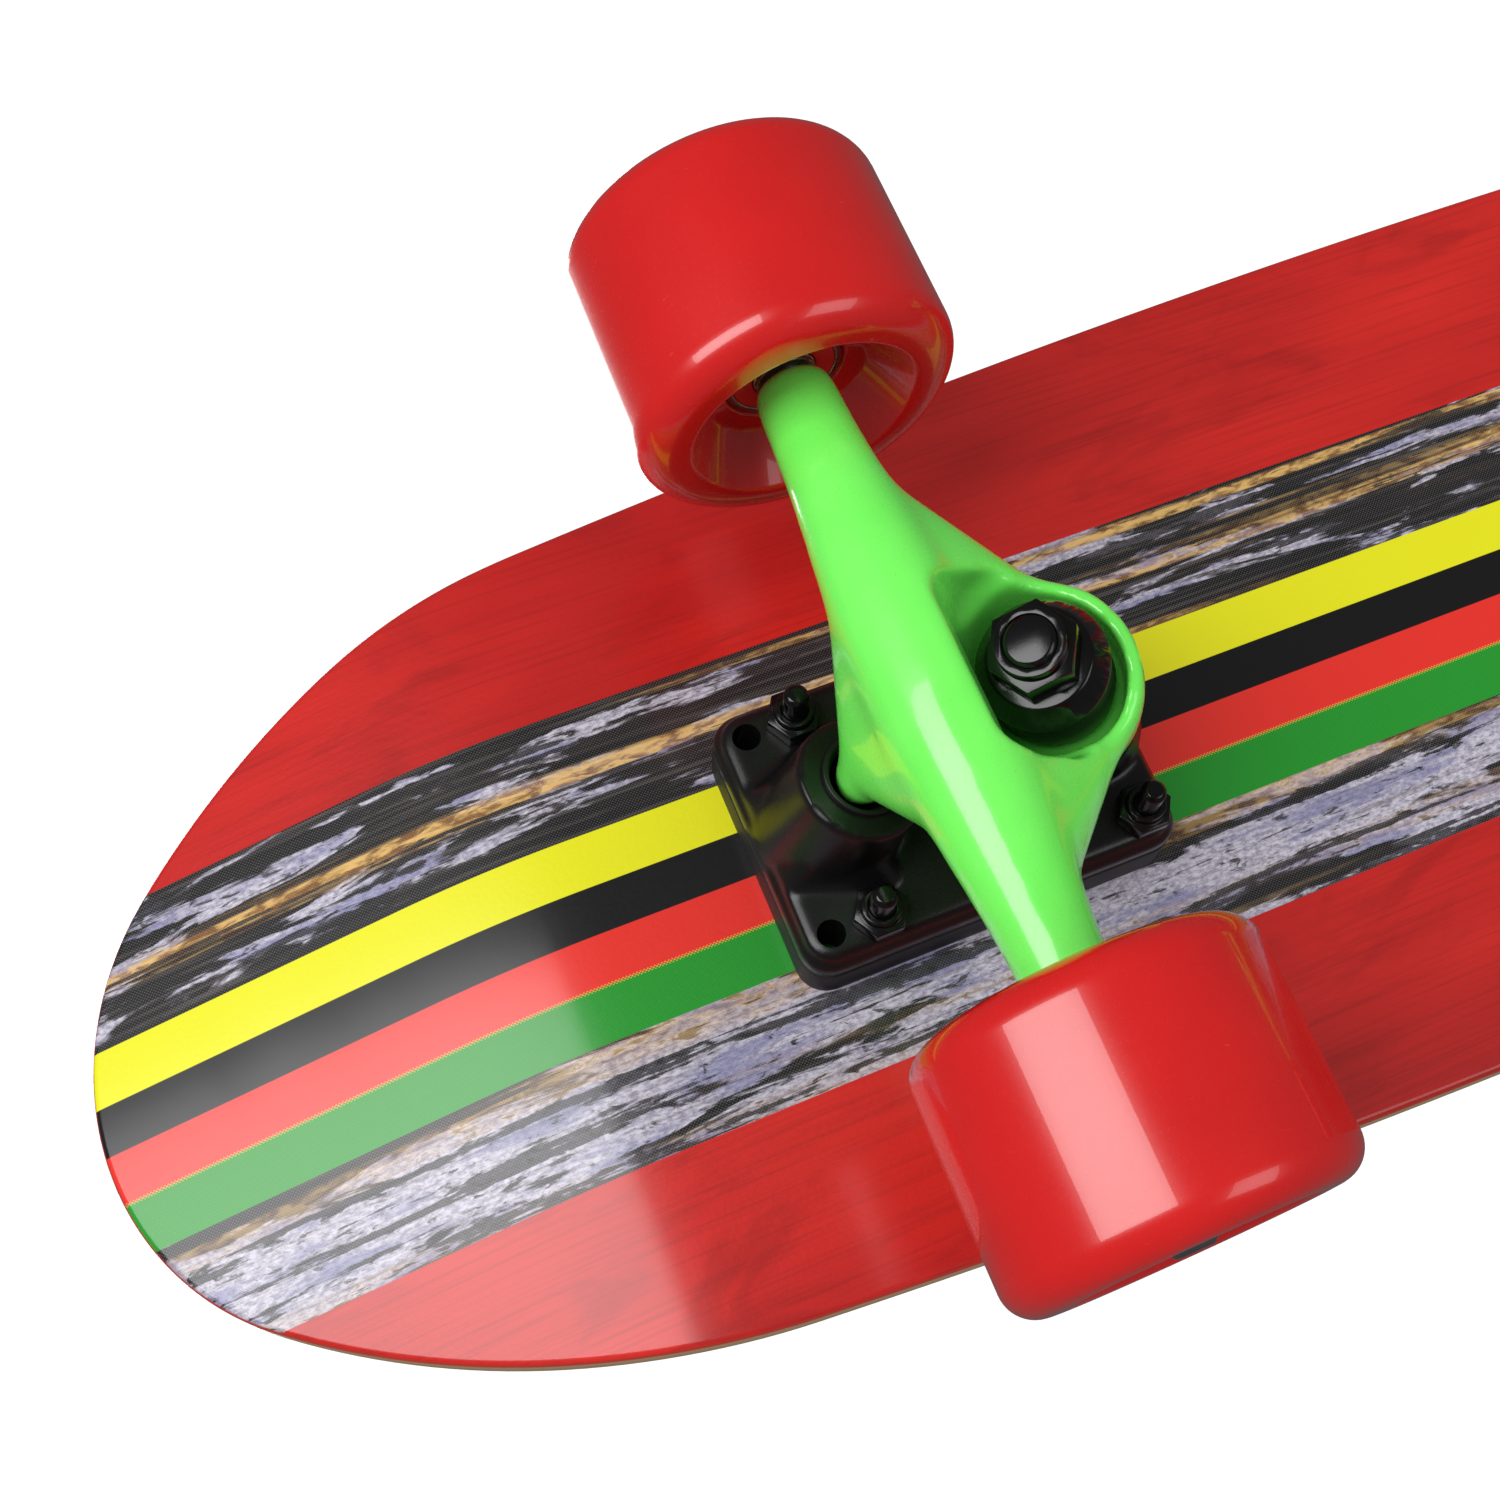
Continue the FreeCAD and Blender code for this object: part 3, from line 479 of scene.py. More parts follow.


# %% [markdown]
# Plated steel shows faint streaks from rolling and some grime, and moulded rubber is cloudy and dull.
# Grip tape is a field of hard grains; a few are glossier, and their colour is lightened as a painted glint.

# %% Steel, rubber and grit
def steel(name, shade, rough=0.26, streak=(1, 1, 0.06), dirt=(26, 24, 22)):
    finish = Finish(name, metallic=1.0)
    spot = finish.place(streak)
    lines = finish.noise(spot, 6, 3)
    grime = finish.noise(finish.place(), 0.7, 4).ramp(0.52, 0.72)
    colour = finish.mix(lines, shade, tuple(part * 0.72 for part in shade))
    colour = finish.mix(grime * 0.5, colour, linear(*dirt))
    finish.surface(base_color=colour, roughness=rough + lines * 0.12 + grime * 0.2)
    return finish.bump(lines, 0.01).material


def rubber(name, shade, rough=0.5):
    finish = Finish(name)
    spot = finish.place()
    fine = finish.noise(spot, 2.4, 3)
    cloud = finish.noise(spot, 0.12, 3)
    finish.surface(base_color=finish.mix(cloud, shade, tuple(part * 1.5 for part in shade)),
                   roughness=rough + fine * 0.12)
    return finish.bump(fine, 0.04).material


def grit():
    finish = Finish("grip_grit")
    spot = finish.place()
    grains = finish.cells(spot, 2.2)
    tone = finish.cells(spot, 2.2, output=1)
    glossy_grain_painted_glint = (finish.axis(tone, "X") > 0.93) * 0.5
    wear = finish.noise(spot, 0.012, 4).ramp(0.45, 0.75)
    colour = finish.mix(finish.axis(tone, "Y"), linear(16, 16, 17), linear(40, 40, 42))
    # The few glossy grains get a lighter colour, a painted glint; the wear share is real wear.
    colour = finish.mix(wear * 0.1 + glossy_grain_painted_glint * 0.3, colour, linear(96, 95, 96))
    finish.surface(base_color=colour, roughness=0.85 - glossy_grain_painted_glint)
    return finish.bump(1 - grains, 0.25).material


# %% [markdown]
# The deck is one veneer sandwich, but three finishes show: the stained and printed underside, the
# ply lines on the edge and the bare top under the grip tape. The print is laid out across the board
# in flat coordinates that are kept on the mesh before it is bent, so the stripes follow the kick.

# %% Stain and weathered panel
def deck_grain(finish, along, scale, detail=5.0, warp=0.0):
    """Grain that runs along the board: a small share of its length counts, so it is drawn out."""
    return finish.noise(finish.unbent((along, 1, 1)), scale, detail, 0.6, warp)


def red_stain(finish, hair):
    """A clear red with grain lines and slow clouding."""
    broad = deck_grain(finish, 0.3, 0.02, 3)
    figure = deck_grain(finish, 0.35, 0.05, 8, 1.6)
    colour = finish.mix(broad.ramp(0.3, 0.7), linear(172, 20, 18), linear(206, 34, 26))
    colour = finish.mix(figure.ramp(0.5, 0.68) * 0.4, colour, linear(140, 16, 16))
    return finish.mix(hair.ramp(0.45, 0.7) * 0.3, colour, linear(120, 14, 14))


def weathered_wood(finish, upper, dots):
    """Boards with pale paint left in patches, fewer of them where upper is 1, and gold streaks."""
    band = deck_grain(finish, 0.006, 0.12, 2)
    patch = deck_grain(finish, 0.13, 0.18, 8, 0.6)
    chips = deck_grain(finish, 0.3, 0.6, 7, 0.5)
    streak = deck_grain(finish, 0.02, 0.9)
    tint = deck_grain(finish, 0.15, 0.22, 3)
    speck = finish.noise(finish.unbent((0.5, 1, 1)), 1.2, 4, 0.7).ramp(0.35, 0.65)
    paint = (patch + band * 0.6 - upper * 0.13).ramp(0.69, 0.74)
    paint = paint * chips.ramp(0.56, 0.64, 1, 0.15)
    dark = finish.mix(streak.ramp(0.45, 0.75), linear(16, 16, 15), linear(80, 74, 70))
    pale = finish.mix(speck, linear(140, 134, 152), linear(200, 196, 208))
    pale = finish.mix(tint.ramp(0.48, 0.62) * 0.6, pale, linear(98, 100, 150))
    pale = finish.mix(streak.ramp(0.5, 0.7) * 0.6, pale, linear(84, 78, 84))
    wood = finish.mix(paint, dark, pale)
    brown = finish.mix(chips.ramp(0.4, 0.6), linear(128, 84, 34), linear(226, 182, 104))
    gold = deck_grain(finish, 0.016, 0.09, 4, 0.3).ramp(0.52, 0.57) * (upper * 0.8 + 0.2)
    wood = finish.mix(gold * 0.85, wood, brown)
    crack = (deck_grain(finish, 0.03, 0.3, 8, 0.4) + chips * 0.3).ramp(0.68, 0.72)
    wood = finish.mix(crack * 0.9, wood, linear(26, 24, 24))
    return finish.mix(dots.ramp(0, 1) * 0.1, wood, linear(232, 228, 236))


# %% [markdown]
# Ink is laid in order across the board, as a screen printer does: each colour covers everything
# beyond its own edge. A fine raster of dots shows in the green and where red and green meet. The
# board's rim is bare maple with darker glue lines, stained where the red ran over the corner.

# %% Stripes, rim and the whole deck finish
STRIPE_EDGES = {"panel_top": 44.4, "yellow": 19.2, "black": 8.8, "red": -0.5, "green": -10.3,
                "wood": -20.7, "panel_low": -44.2}
DOTS_PER_MM = 9.0               # as an angle in radians
PLY = 10 / 7
STAIN_DEPTH = 1.2


def bare_rim(finish, depth):
    """Maple with glue lines, and the stain that ran over the corner."""
    ply = ((depth * (2 * math.pi / PLY)).sine()).ramp(0.55, 0.95)
    maple = finish.mix(deck_grain(finish, 0.03, 0.9), linear(214, 176, 122), linear(190, 144, 92))
    maple = finish.mix(ply * 0.5, maple, linear(146, 98, 58))
    stained = depth.ramp(STAIN_DEPTH - 0.5, STAIN_DEPTH + 0.5, 1, 0)
    return finish.mix(stained, maple, linear(170, 40, 30))


def deck_finish():
    finish = Finish("stained_maple", coat_weight=0.75, coat_roughness=0.16, specular_ior_level=0.2)
    flat = finish.unbent()
    across = finish.axis(flat, "Y")

    def above(edge, soft=0.08):
        return across.ramp(STRIPE_EDGES[edge] - soft, STRIPE_EDGES[edge] + soft)

    dots = (finish.axis(flat, "X") * DOTS_PER_MM).sine() * (across * DOTS_PER_MM).sine()
    hair = deck_grain(finish, 0.02, 1.1)
    stain = red_stain(finish, hair)
    wood = weathered_wood(finish, above("wood", 9), dots)
    green = finish.mix(dots.ramp(0, 1) * 0.4, linear(28, 142, 38), linear(60, 166, 62))
    near_red = (across - STRIPE_EDGES["green"]).absolute().ramp(0.25, 0.5, 1, 0)
    colour = stain
    for edge, ink in (("panel_low", wood), ("wood", green), ("green", linear(222, 44, 34)),
                      ("red", linear(20, 20, 22)), ("black", linear(222, 220, 14)),
                      ("yellow", wood), ("panel_top", stain)):
        colour = finish.mix(above(edge), colour, ink)
        if edge == "green":
            colour = finish.mix(dots.ramp(0, 0.4) * near_red * 0.8, colour, linear(220, 190, 70))
    on_face = finish.node("ShaderNodeAttribute", {"attribute_name": "underside"}, output=2)
    colour = finish.mix(on_face, bare_rim(finish, finish.axis(flat, "Z")), colour)
    finish.surface(base_color=colour, roughness=0.36 + hair * 0.1 + (1 - on_face) * 0.2)
    lacquer = finish.noise(flat, 0.9, 4, 0.6)
    return finish.bump(hair * 0.4 + lacquer, 0.06).material


FINISHES = {
    "wheel_urethane": urethane(),
    "green_paint": green_coat(),
    "black_paint": black_coat(),
    "black_steel": black_coat("black_oxide_steel", 0.1, 0.01, 6),
    "bushing_urethane": rubber("black_bushing", linear(14, 14, 15), 0.3),
    "riser_rubber": rubber("riser_rubber", linear(20, 20, 21)),
    "cup_plastic": rubber("cup_nylon", linear(12, 12, 12), 0.42),
    "zinc_steel": steel("zinc_plate", linear(176, 178, 184)),
    "bearing_steel": steel("bearing_steel", linear(196, 198, 202), 0.16),
    "seal_rubber": rubber("red_seal", linear(186, 22, 18), 0.4),
    "grip_tape": grit(),
    "maple": deck_finish(),
}
print("finishes:", len(FINISHES))

# %% [markdown]
# ## Deck
#
# Seven veneers are pressed flat in the middle and bent up at both ends. The outline is drawn first
# with arcs, filled and extruded, its edges are rounded, it is cut across into narrow bands, and only
# then is it bent, as the press does.

# %% Outline and bend
SIDE_RADIUS, SHOULDER_RADIUS, NOSE_RADIUS = 2600.0, 165.0, 57.0
KICK_START, KICK_RADIUS, KICK_ANGLE = 244.5, 125.0, math.radians(16.2)
BEND_CUTS = [KICK_START + step * 2.5 for step in range(-2, 18)] + [305, 325]
FLAT_CUTS = [0, 60, -60, 120, -120, 180, -180]
FACE_DEPTH = 0.5                # how far up from the printed face the print still shows


def outline_points(inset, steps=28):
    """Points around the board: nose, shoulder and side arcs, tangent to each other."""
    side, shoulder, nose = (radius - inset for radius in
                            (SIDE_RADIUS, SHOULDER_RADIUS, NOSE_RADIUS))
    side_centre = Vector((0, half_width - inset - side))
    nose_centre = Vector((half_length - inset - nose, 0))
    between = nose_centre - side_centre
    far = between.length
    reach = (far ** 2 + (side - shoulder) ** 2 - (shoulder - nose) ** 2) / (2 * far)
    aside = math.sqrt((side - shoulder) ** 2 - reach ** 2)
    along = between.normalized()
    choices = [side_centre + along * reach + sign * Vector((along.y, -along.x)) * aside
               for sign in (1, -1)]
    shoulder_centre = min(choices, key=lambda spot: spot.x)
    side_end = (shoulder_centre - side_centre).normalized()
    nose_start = (nose_centre - shoulder_centre).normalized()
    side_angle = math.atan2(side_end.y, side_end.x)
    nose_angle = math.atan2(nose_start.y, nose_start.x)
    quarter = []
    for centre, radius, start, end in ((nose_centre, nose, 0, nose_angle),
                                       (shoulder_centre, shoulder, nose_angle, side_angle),
                                       (side_centre, side, side_angle, math.pi / 2)):
        for step in range(steps):
            angle = start + (end - start) * step / steps
            quarter.append(centre + radius * Vector((math.cos(angle), math.sin(angle))))
    top = Vector((0, half_width - inset))
    right = quarter + [top]
    left = [Vector((-spot.x, spot.y)) for spot in reversed(quarter)]
    upper = right + left
    lower = [Vector((spot.x, -spot.y)) for spot in reversed(upper[1:-1])]
    return upper + lower


def bent(spot):
    """A point of the flat sheet after pressing: the ends turn up on an arc, then run straight."""
    out = abs(spot.x) - KICK_START
    if out <= 0:
        return spot
    flat_reach = KICK_RADIUS * math.sin(KICK_ANGLE)
    turn = math.asin(min(out, flat_reach) / KICK_RADIUS)
    rise = KICK_RADIUS * (1 - math.cos(turn)) + max(out - flat_reach, 0) * math.tan(KICK_ANGLE)
    return Vector((spot.x, spot.y, rise + spot.z / math.cos(turn)))


def pressed_sheet(inset, low, high, round_edge):
    """A bent sheet in local board millimetres, with its flat place kept as an attribute."""
    mesh = bmesh.new()
    ring = [mesh.verts.new((spot.x, spot.y, low)) for spot in outline_points(inset)]
    base = mesh.faces.new(ring)
    bmesh.ops.recalc_face_normals(mesh, faces=[base])
    if base.normal.z > 0:
        base.normal_flip()
    grown = bmesh.ops.extrude_face_region(mesh, geom=[base], use_keep_orig=True)
    lifted = [item for item in grown["geom"] if isinstance(item, bmesh.types.BMVert)]
    bmesh.ops.translate(mesh, verts=lifted, vec=(0, 0, high - low))
    bmesh.ops.recalc_face_normals(mesh, faces=mesh.faces)
    if round_edge:
        rims = [edge for edge in mesh.edges
                if abs(edge.verts[0].co.z - edge.verts[1].co.z) < 1e-6]
        bmesh.ops.bevel(mesh, geom=rims, offset=round_edge, segments=5, profile=0.5,
                        affect="EDGES", material=-1)
    for cut in BEND_CUTS + [-place for place in BEND_CUTS] + FLAT_CUTS:
        everything = mesh.verts[:] + mesh.edges[:] + mesh.faces[:]
        bmesh.ops.bisect_plane(mesh, geom=everything, plane_co=(cut, 0, 0),
                               plane_no=(1, 0, 0), dist=1e-5)
    flat = mesh.verts.layers.float_vector.new("flat_place")
    face_mark = mesh.verts.layers.float.new("underside")
    for spot in mesh.verts:
        spot[flat] = spot.co - Vector((0, 0, low))
        spot[face_mark] = 1.0 if spot.co.z < low + FACE_DEPTH else 0.0
    for spot in mesh.verts:
        spot.co = bent(spot.co)
    return mesh


# %% [markdown]
# The grip tape is a thin sheet over the deck's top, cut a little inside its rim. The deck is pressed
# whole, because the bolts fill its holes, but the tape is punched where the bolt heads sit.

# %% Press the deck and lay the tape
BOLT_SPOTS = [(along, over) for along in (22.25, -31.75) for over in (20.65, -20.65)]
DECK_THICKNESS, DECK_ROUNDING = 10.0, 1.3
TAPE_INSET, TAPE_THICKNESS, HEAD_HOLE = 1.5, 0.8, 5.0
board_frame = Matrix.Translation((0, 0, underside * MM)) @ Matrix.Scale(MM, 4)


def drilled(mesh, radius, low, high):
    """Drills the four bolt holes at each end."""
    spots = [(end * (truck_out + along), over, low)
             for end in (1, -1) for along, over in BOLT_SPOTS]
    return carved(mesh, joined([moved(prism(32, radius, high - low), Matrix.Translation(spot))
                                for spot in spots]))


tape_top = DECK_THICKNESS + TAPE_THICKNESS
tape = drilled(pressed_sheet(TAPE_INSET, DECK_THICKNESS, tape_top, 0), HEAD_HOLE, 5, 20)
deck = piece("pressed_deck", pressed_sheet(0, 0, DECK_THICKNESS, DECK_ROUNDING), board_frame,
             FINISHES["maple"], "board", ["deck"], 40)
grip = piece("grip_sheet", tape, board_frame, FINISHES["grip_tape"], "board",
             ["grip_tape"])
print("deck faces", len(deck.data.polygons), "grip faces", len(grip.data.polygons))

# %% [markdown]
# ## Baseplate and riser
#
# The riser is a plain moulded pad. The baseplate is a casting: a rounded slab with a stepped rim, a
# boss around the kingpin and a housing for the pivot cup that ramps down to the plate's end. The
# lumps are melted into one skin, so the ramps flow into the slab.

# %% Riser and baseplate
RISER, PLATE = 9.0, 7.0
BOLT_HOLE, CUP_BORE, KINGPIN_BORE = 2.7, 7.9, 4.75
PLATE_CORNER, STEP_CORNER = 6.0, 5.2
FAR = 60                        # beyond any part of a truck
HOLE_SPOTS = BOLT_SPOTS + [(31.75, 20.65), (31.75, -20.65)]


def rounded_slab(low, high, inset, corner, edge):
    """The plate's outline between two heights, with rounded corners and a rounded lower rim."""
    mesh = block((-plate_inner + inset, -27 + inset, low), (plate_outer - inset, 27 - inset, high))
    uprights = [line for line in mesh.edges
                if abs(line.verts[0].co.z - line.verts[1].co.z) > 1]
    bmesh.ops.bevel(mesh, geom=uprights, offset=corner, segments=8, profile=0.5,
                    affect="EDGES", material=-1)
    if edge:
        rims = [line for line in mesh.edges
                if line.verts[0].co.z < low + 1e-4 and line.verts[1].co.z < low + 1e-4
                and len(line.link_faces) == 2 and line.calc_face_angle(0) > 0.5]
        bmesh.ops.bevel(mesh, geom=rims, offset=edge, segments=4, profile=0.5,
                        affect="EDGES", material=-1)
    return mesh


def hole_drills(radius, low, high):
    """Six drills as one tool: they stand apart, so they can share a cut."""
    return joined([moved(prism(32, radius, high - low), Matrix.Translation((along, over, low)))
                   for along, over in HOLE_SPOTS])


def baseplate():
    """The cast plate with its kingpin boss and the housing of the pivot cup."""
    top = -(RISER + PLATE)
    mouth = along_pivot(1.2).translation
    lumps = [
        rounded_slab(-RISER - 4.2, -RISER, 0, PLATE_CORNER, 1.0),
        rounded_slab(top, -RISER - 3, 1.4, STEP_CORNER, 1.2),
        moved(cone(12.4, 11.5, 10), along_kingpin(-28)),
        moved(cone(13.2, 12.2, 23.2), along_pivot(-22)),
        lump((mouth + Vector((6.5, 4, 4)), 3), (mouth + Vector((6.5, -4, 4)), 3),
             (Vector((34.5, 9, top + 1)), 2), (Vector((34.5, -9, top + 1)), 2),
             (Vector((18, 14, top + 1)), 3), (Vector((18, -14, top + 1)), 3)),
    ]
    mesh = relaxed(skinned(joined(lumps), 0.7), 7)
    ball_pocket = lump((pivot, CUP_BORE - 0.05))
    return carved(mesh, hole_drills(BOLT_HOLE, -40, 0),
                  moved(prism(64, CUP_BORE, 30), along_pivot(0)), ball_pocket,
                  moved(prism(48, KINGPIN_BORE, 40), along_kingpin(-40)),
                  block((-FAR, -FAR, -RISER), (FAR, FAR, 30)))


for end in ("front", "rear"):
    riser = carved(rounded_slab(-RISER, 0, 0, PLATE_CORNER, 0.5), hole_drills(BOLT_HOLE, -20, 5))
    piece(f"riser_{end}", riser, truck_frame(end), FINISHES["riser_rubber"], "board",
          [f"riser_pad_{end}"])
    plate = piece(f"cast_plate_{end}", baseplate(), truck_frame(end), FINISHES["black_paint"],
                  "board", [f"baseplate_{end}"], 50)
print("baseplate faces", len(plate.data.polygons))

# %% [markdown]
# ## Hanger
#
# The hanger is the piece that the eye goes to: two round arms grow into a saddle, wings sweep from
# the arms around a deep ring, and a nose runs down to the pivot. It is melted from simple lumps and
# smoothed until the lumps disappear, then the basin for the bushing is carved out.

# %% Cast the hanger
ARM = ((63.5, 7.7), (56, 7.8), (46, 8.3), (36, 9.2), (26, 10.4), (14, 11.4), (0, 11.8))
RING_FOOT, RING_RADIUS, RING_DEPTH, RING_LIP = 15.4, 18.4, 6.0, 12.0
BASIN, BASIN_MOUTH, BASIN_DEPTH, SEAT_TOP = 13.2, 16.8, 24.0, 2.5
BOARD_RECESS, SEAT_HOLE = 12.6, 6.5


def hanger():
    """One cast hanger: arms, ring, pivot and saddle melted together, then bored for the kingpin."""
    radii = [(0, -ARM[0][0])] + [(radius, -place) for place, radius in ARM]
    radii += [(radius, place) for place, radius in reversed(ARM[:-1])] + [(0, ARM[0][0])]
    ring = along_kingpin(0)
    oval = Matrix.Diagonal((0.93, 1.04, 1, 1))
    nub = along_pivot(7).translation
    lumps = [
        moved(spun(radii, 64), along_axle(1, 0)),
        moved(cone(RING_FOOT, RING_RADIUS, RING_DEPTH + RING_LIP, 96),
              along_kingpin(-RING_DEPTH) @ oval),
        lump((pivot, 5.7), (along_pivot(4).translation, 6.0)),
        lump((nub, 6.6), (axle + Vector((0, 18, 0)), 10.8), (axle + Vector((0, -18, 0)), 10.8)),
        lump((axle + Vector((0, 7, 0)), 10), (axle + Vector((0, -7, 0)), 10),
             (ring @ Vector((-13, 9, 4)), 6.5), (ring @ Vector((-13, -9, 4)), 6.5)),
    ]
    for hand in (1, -1):
        lumps.append(lump((ring @ Vector((3, hand * 13.6, RING_LIP - 5)), 4.8),
                          (ring @ Vector((-9, hand * 15, RING_LIP - 5)), 6.5),
                          (axle + Vector((-1, hand * 37, 0)), 7.2),
                          (axle + Vector((0, hand * 22, 0)), 10)))
    mesh = relaxed(skinned(joined(lumps), 0.9), 50)
    corners = [(ring @ Vector((x, y, height)), 6)
               for x, y in ((-4.5, 12), (-4.5, -12), (24, 16), (24, -16)) for height in (22, 50)]
    basin = cone(BASIN, BASIN_MOUTH, BASIN_DEPTH, 96)
    cutters = [moved(basin, along_kingpin(SEAT_TOP) @ oval),
               lump(*corners),
               moved(prism(64, BOARD_RECESS, 20), along_kingpin(-20 - SEAT_TOP)),
               moved(prism(48, SEAT_HOLE, 60), along_kingpin(-30))]
    mesh = skinned(carved(mesh, *cutters), 0.7)
    return relaxed(mesh, 10)


for end in ("front", "rear"):
    made = piece(f"cast_hanger_{end}", hanger(), truck_frame(end), FINISHES["green_paint"],
                 f"hanger_{end}", [f"hanger_{end}"], 60)
print("hanger faces", len(made.data.polygons))

# %% [markdown]
# ## Wheels
#
# A poured wheel is turned to shape: rolled lips, a deep cone-shaped recess on both sides and a hub
# that takes a bearing from each side. The lips are arcs in the profile. The sharp corners of the
# hub are bevelled afterwards.

# %% Turn the wheels
LIP, INNER_LIP, RECESS_MOUTH = 6.0, 1.8, 22.0
HUB_HALF, HUB_BORE, BEARING_SEAT = 12.3, 11.02, 5.0


def wheel_profile():
    """Half of the section from the tread to the bearing seat, then its mirror image."""
    half = []
    lip_centre = (wheel_radius - LIP, wheel_half_width - LIP)
    for step in range(13):
        angle = math.radians(90 * step / 12)
        half.append((lip_centre[0] + LIP * math.cos(angle), lip_centre[1] + LIP * math.sin(angle)))
    for step in range(7):
        angle = math.radians(90 + 55 * step / 6)
        half.append((RECESS_MOUTH + INNER_LIP * math.cos(angle),
                     wheel_half_width - INNER_LIP + INNER_LIP * math.sin(angle)))
    half += [(15.6, HUB_HALF + 0.8), (14.2, HUB_HALF), (11.6, HUB_HALF), (HUB_BORE, HUB_HALF - 0.6),
             (HUB_BORE, BEARING_SEAT), (9.4, BEARING_SEAT)]
    return [(radius, -place) for radius, place in reversed(half)] + half


for end in ("front", "rear"):
    for hand_name, hand in (("left", 1), ("right", -1)):
        local = hand if end == "front" else -hand
        tag = f"{end}_{hand_name}"
        tyre = spun(wheel_profile(), 128, closed=True)
        tyre = soften(tyre, 0.35, 30)
        wheel = piece(f"poured_wheel_{tag}", tyre, truck_frame(end) @ along_axle(local, wheel_out),
                      FINISHES["wheel_urethane"], f"wheel_{tag}",
                      [f"wheel_{tag}"], 40)
print("wheel faces", len(wheel.data.polygons))

# %% [markdown]
# ## Small parts
#
# Nuts, washers, bolts, bushings and bearing races are bought parts, and the CAD model already has
# their true shape. Their meshes are merged and their edges softened, by less on a ground race than
# on a forged nut. The bearing balls are smooth already, so they only get their material.

# %% Soften the small parts
SOFTENED = {"kingpin_nut": 0.5, "board_washer": 0.3, "road_washer": 0.45, "board_bushing": 0.6,
            "road_bushing": 0.6, "axle_nut": 0.4, "speed_washers": 0.15, "outer_races": 0.3,
            "inner_races": 0.3, "bearing_seals": 0.1, "pivot_cup": 0.3, "kingpin": 0.3,
            "axle": 0.3, "deck_bolts": 0.2, "deck_nuts": 0.4, "bearing_spacer": 0.2}
slots = {part["node"]: part["material_slot"] for part in frame["record"]["subparts"]}
owners = {node: body for body, nodes in frame["record"]["behaviour"]["bodies"].items()
          for node in nodes}
for node in sorted(frame["nodes"]):
    kind = node.split("_front")[0].split("_rear")[0]
    material = FINISHES[slots[node]]
    if kind in SOFTENED:
        piece(f"{kind}_piece" + node[len(kind):], faced_copy(node, SOFTENED[kind]),
              Matrix.Identity(4), material, owners[node], [node])
    elif kind == "balls":
        frame["nodes"][node].data.materials.clear()
        frame["nodes"][node].data.materials.append(material)

# %% [markdown]
# ## Stage
#
# The camera looks up at the board from below, so the floor is drawn on its upper side only and lets
# light through: seen from above, the board stands on it. A white surround lights the camera's
# background, and softboxes shape the gloss.

# %% Camera
camera_data = bpy.data.cameras.new("camera")
camera = bpy.data.objects.new("camera", camera_data)
bpy.context.scene.collection.objects.link(camera)
bpy.context.scene.camera = camera
camera_data.sensor_width = 36
camera_data.lens = 46.75
camera_data.shift_x = -0.1034
camera_data.shift_y = 0.0108
camera_data.clip_start = 0.01
right = Vector((-0.9121, -0.3979, -0.0987))
up = Vector((-0.3387, 0.8670, -0.3654))
ahead = Vector((-0.2309, 0.2999, 0.9256))
from_truck = Vector((90.9, -105.6, -355.5))
camera.matrix_world = Matrix((
    (right.x, up.x, -ahead.x, (truck_out + from_truck.x) * MM),
    (right.y, up.y, -ahead.y, from_truck.y * MM),
    (right.z, up.z, -ahead.z, (underside + from_truck.z) * MM),
    (0, 0, 0, 1)))
print("camera at", tuple(round(part, 3) for part in camera.matrix_world.translation))


# %% [markdown]
# A softbox is a rectangle of light. A long one off to the side leaves a long rectangle in a glossy
# wheel and a broad haze in satin lacquer, which tell the two apart. The surround is bright for the
# background but dim in reflections, so the black parts stay black.

# %% Lights, surround and floor
def softbox(name, towards, distance, width, height, power, target=(0.2, 0, 0.08)):
    """A rectangular light in a direction from the target, facing it."""
    data = bpy.data.lights.new(name, "AREA")
    data.shape = "RECTANGLE"
    data.size, data.size_y = width, height
    data.energy = power
    box = bpy.data.objects.new(name, data)
    bpy.context.scene.collection.objects.link(box)
    way = Vector(towards).normalized()
    box.location = Vector(target) + way * distance
    along = (Vector((0, 1, 0)) - way * way.y).normalized()
    box.rotation_euler = Matrix((along, way.cross(along), way)).transposed().to_euler()
    return box


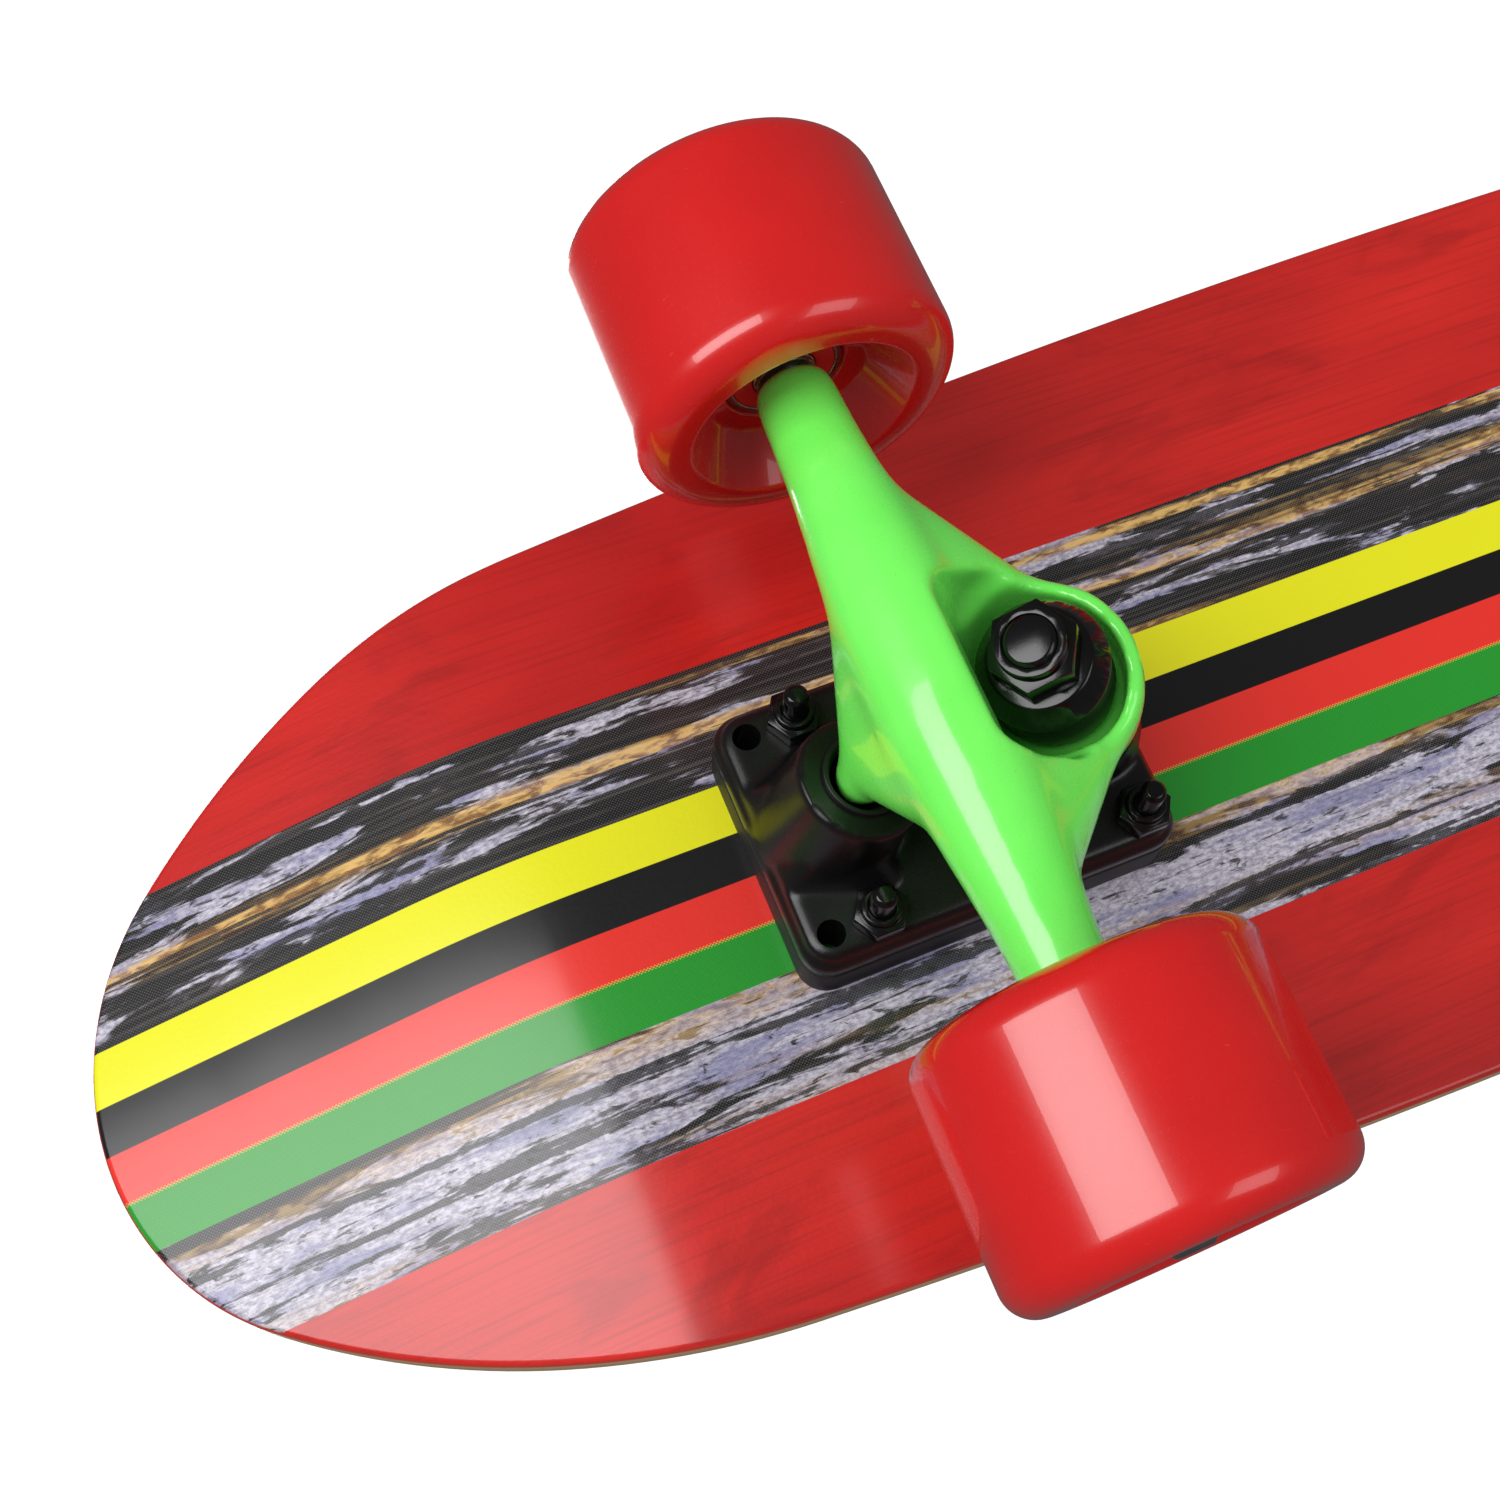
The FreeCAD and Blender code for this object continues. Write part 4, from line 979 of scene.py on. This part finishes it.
softbox("key_softbox", (0.52, 0.05, -0.80), 1.2, 0.62, 1.1, 12, (0.30, 0, 0.1))
softbox("fill_softbox", (-0.6, -0.6, -0.9), 1.6, 0.8, 0.8, 4)
softbox("top_softbox", (0.2, 0.5, 1.0), 1.6, 1.2, 1.2, 22)

world = bpy.data.worlds.new("surround")
world.use_nodes = True
bpy.context.scene.world = world
tree = world.node_tree
path = tree.nodes.new("ShaderNodeLightPath")
shade = tree.nodes.new("ShaderNodeMapRange")
shade.inputs["To Min"].default_value = 0.6
shade.inputs["To Max"].default_value = 0.10
lift = tree.nodes.new("ShaderNodeMapRange")
lift.inputs["To Max"].default_value = 1.1
tree.links.new(path.outputs["Is Glossy Ray"], shade.inputs["Value"])
tree.links.new(shade.outputs[0], lift.inputs["To Min"])
tree.links.new(path.outputs["Is Camera Ray"], lift.inputs["Value"])
tree.links.new(lift.outputs[0], tree.nodes["Background"].inputs["Strength"])
tree.nodes["Background"].inputs["Color"].default_value = (1, 1, 1, 1)

floor_mesh = bmesh.new()
bmesh.ops.create_grid(floor_mesh, x_segments=1, y_segments=1, size=4)
floor_data = bpy.data.meshes.new("floor")
floor_mesh.to_mesh(floor_data)
floor_mesh.free()
floor = bpy.data.objects.new("floor", floor_data)
bpy.context.scene.collection.objects.link(floor)
floor_finish = Finish("pale_floor", base_color=(0.82, 0.82, 0.82), roughness=0.6)
behind = floor_finish.node("ShaderNodeNewGeometry", output=6)
clear = floor_finish.node("ShaderNodeBsdfTransparent")
pale = Signal(floor_finish, floor_finish.shader.outputs[0])
one_sided = floor_finish.node("ShaderNodeMixShader", {}, {0: behind, 1: pale, 2: clear})
output = floor_finish.tree.nodes["Material Output"]
floor_finish.tree.links.new(one_sided.socket, output.inputs["Surface"])
floor_data.materials.append(floor_finish.material)
floor.visible_shadow = False
floor.visible_glossy = False
floor.visible_diffuse = False
bpy.context.scene.view_settings.view_transform = "Standard"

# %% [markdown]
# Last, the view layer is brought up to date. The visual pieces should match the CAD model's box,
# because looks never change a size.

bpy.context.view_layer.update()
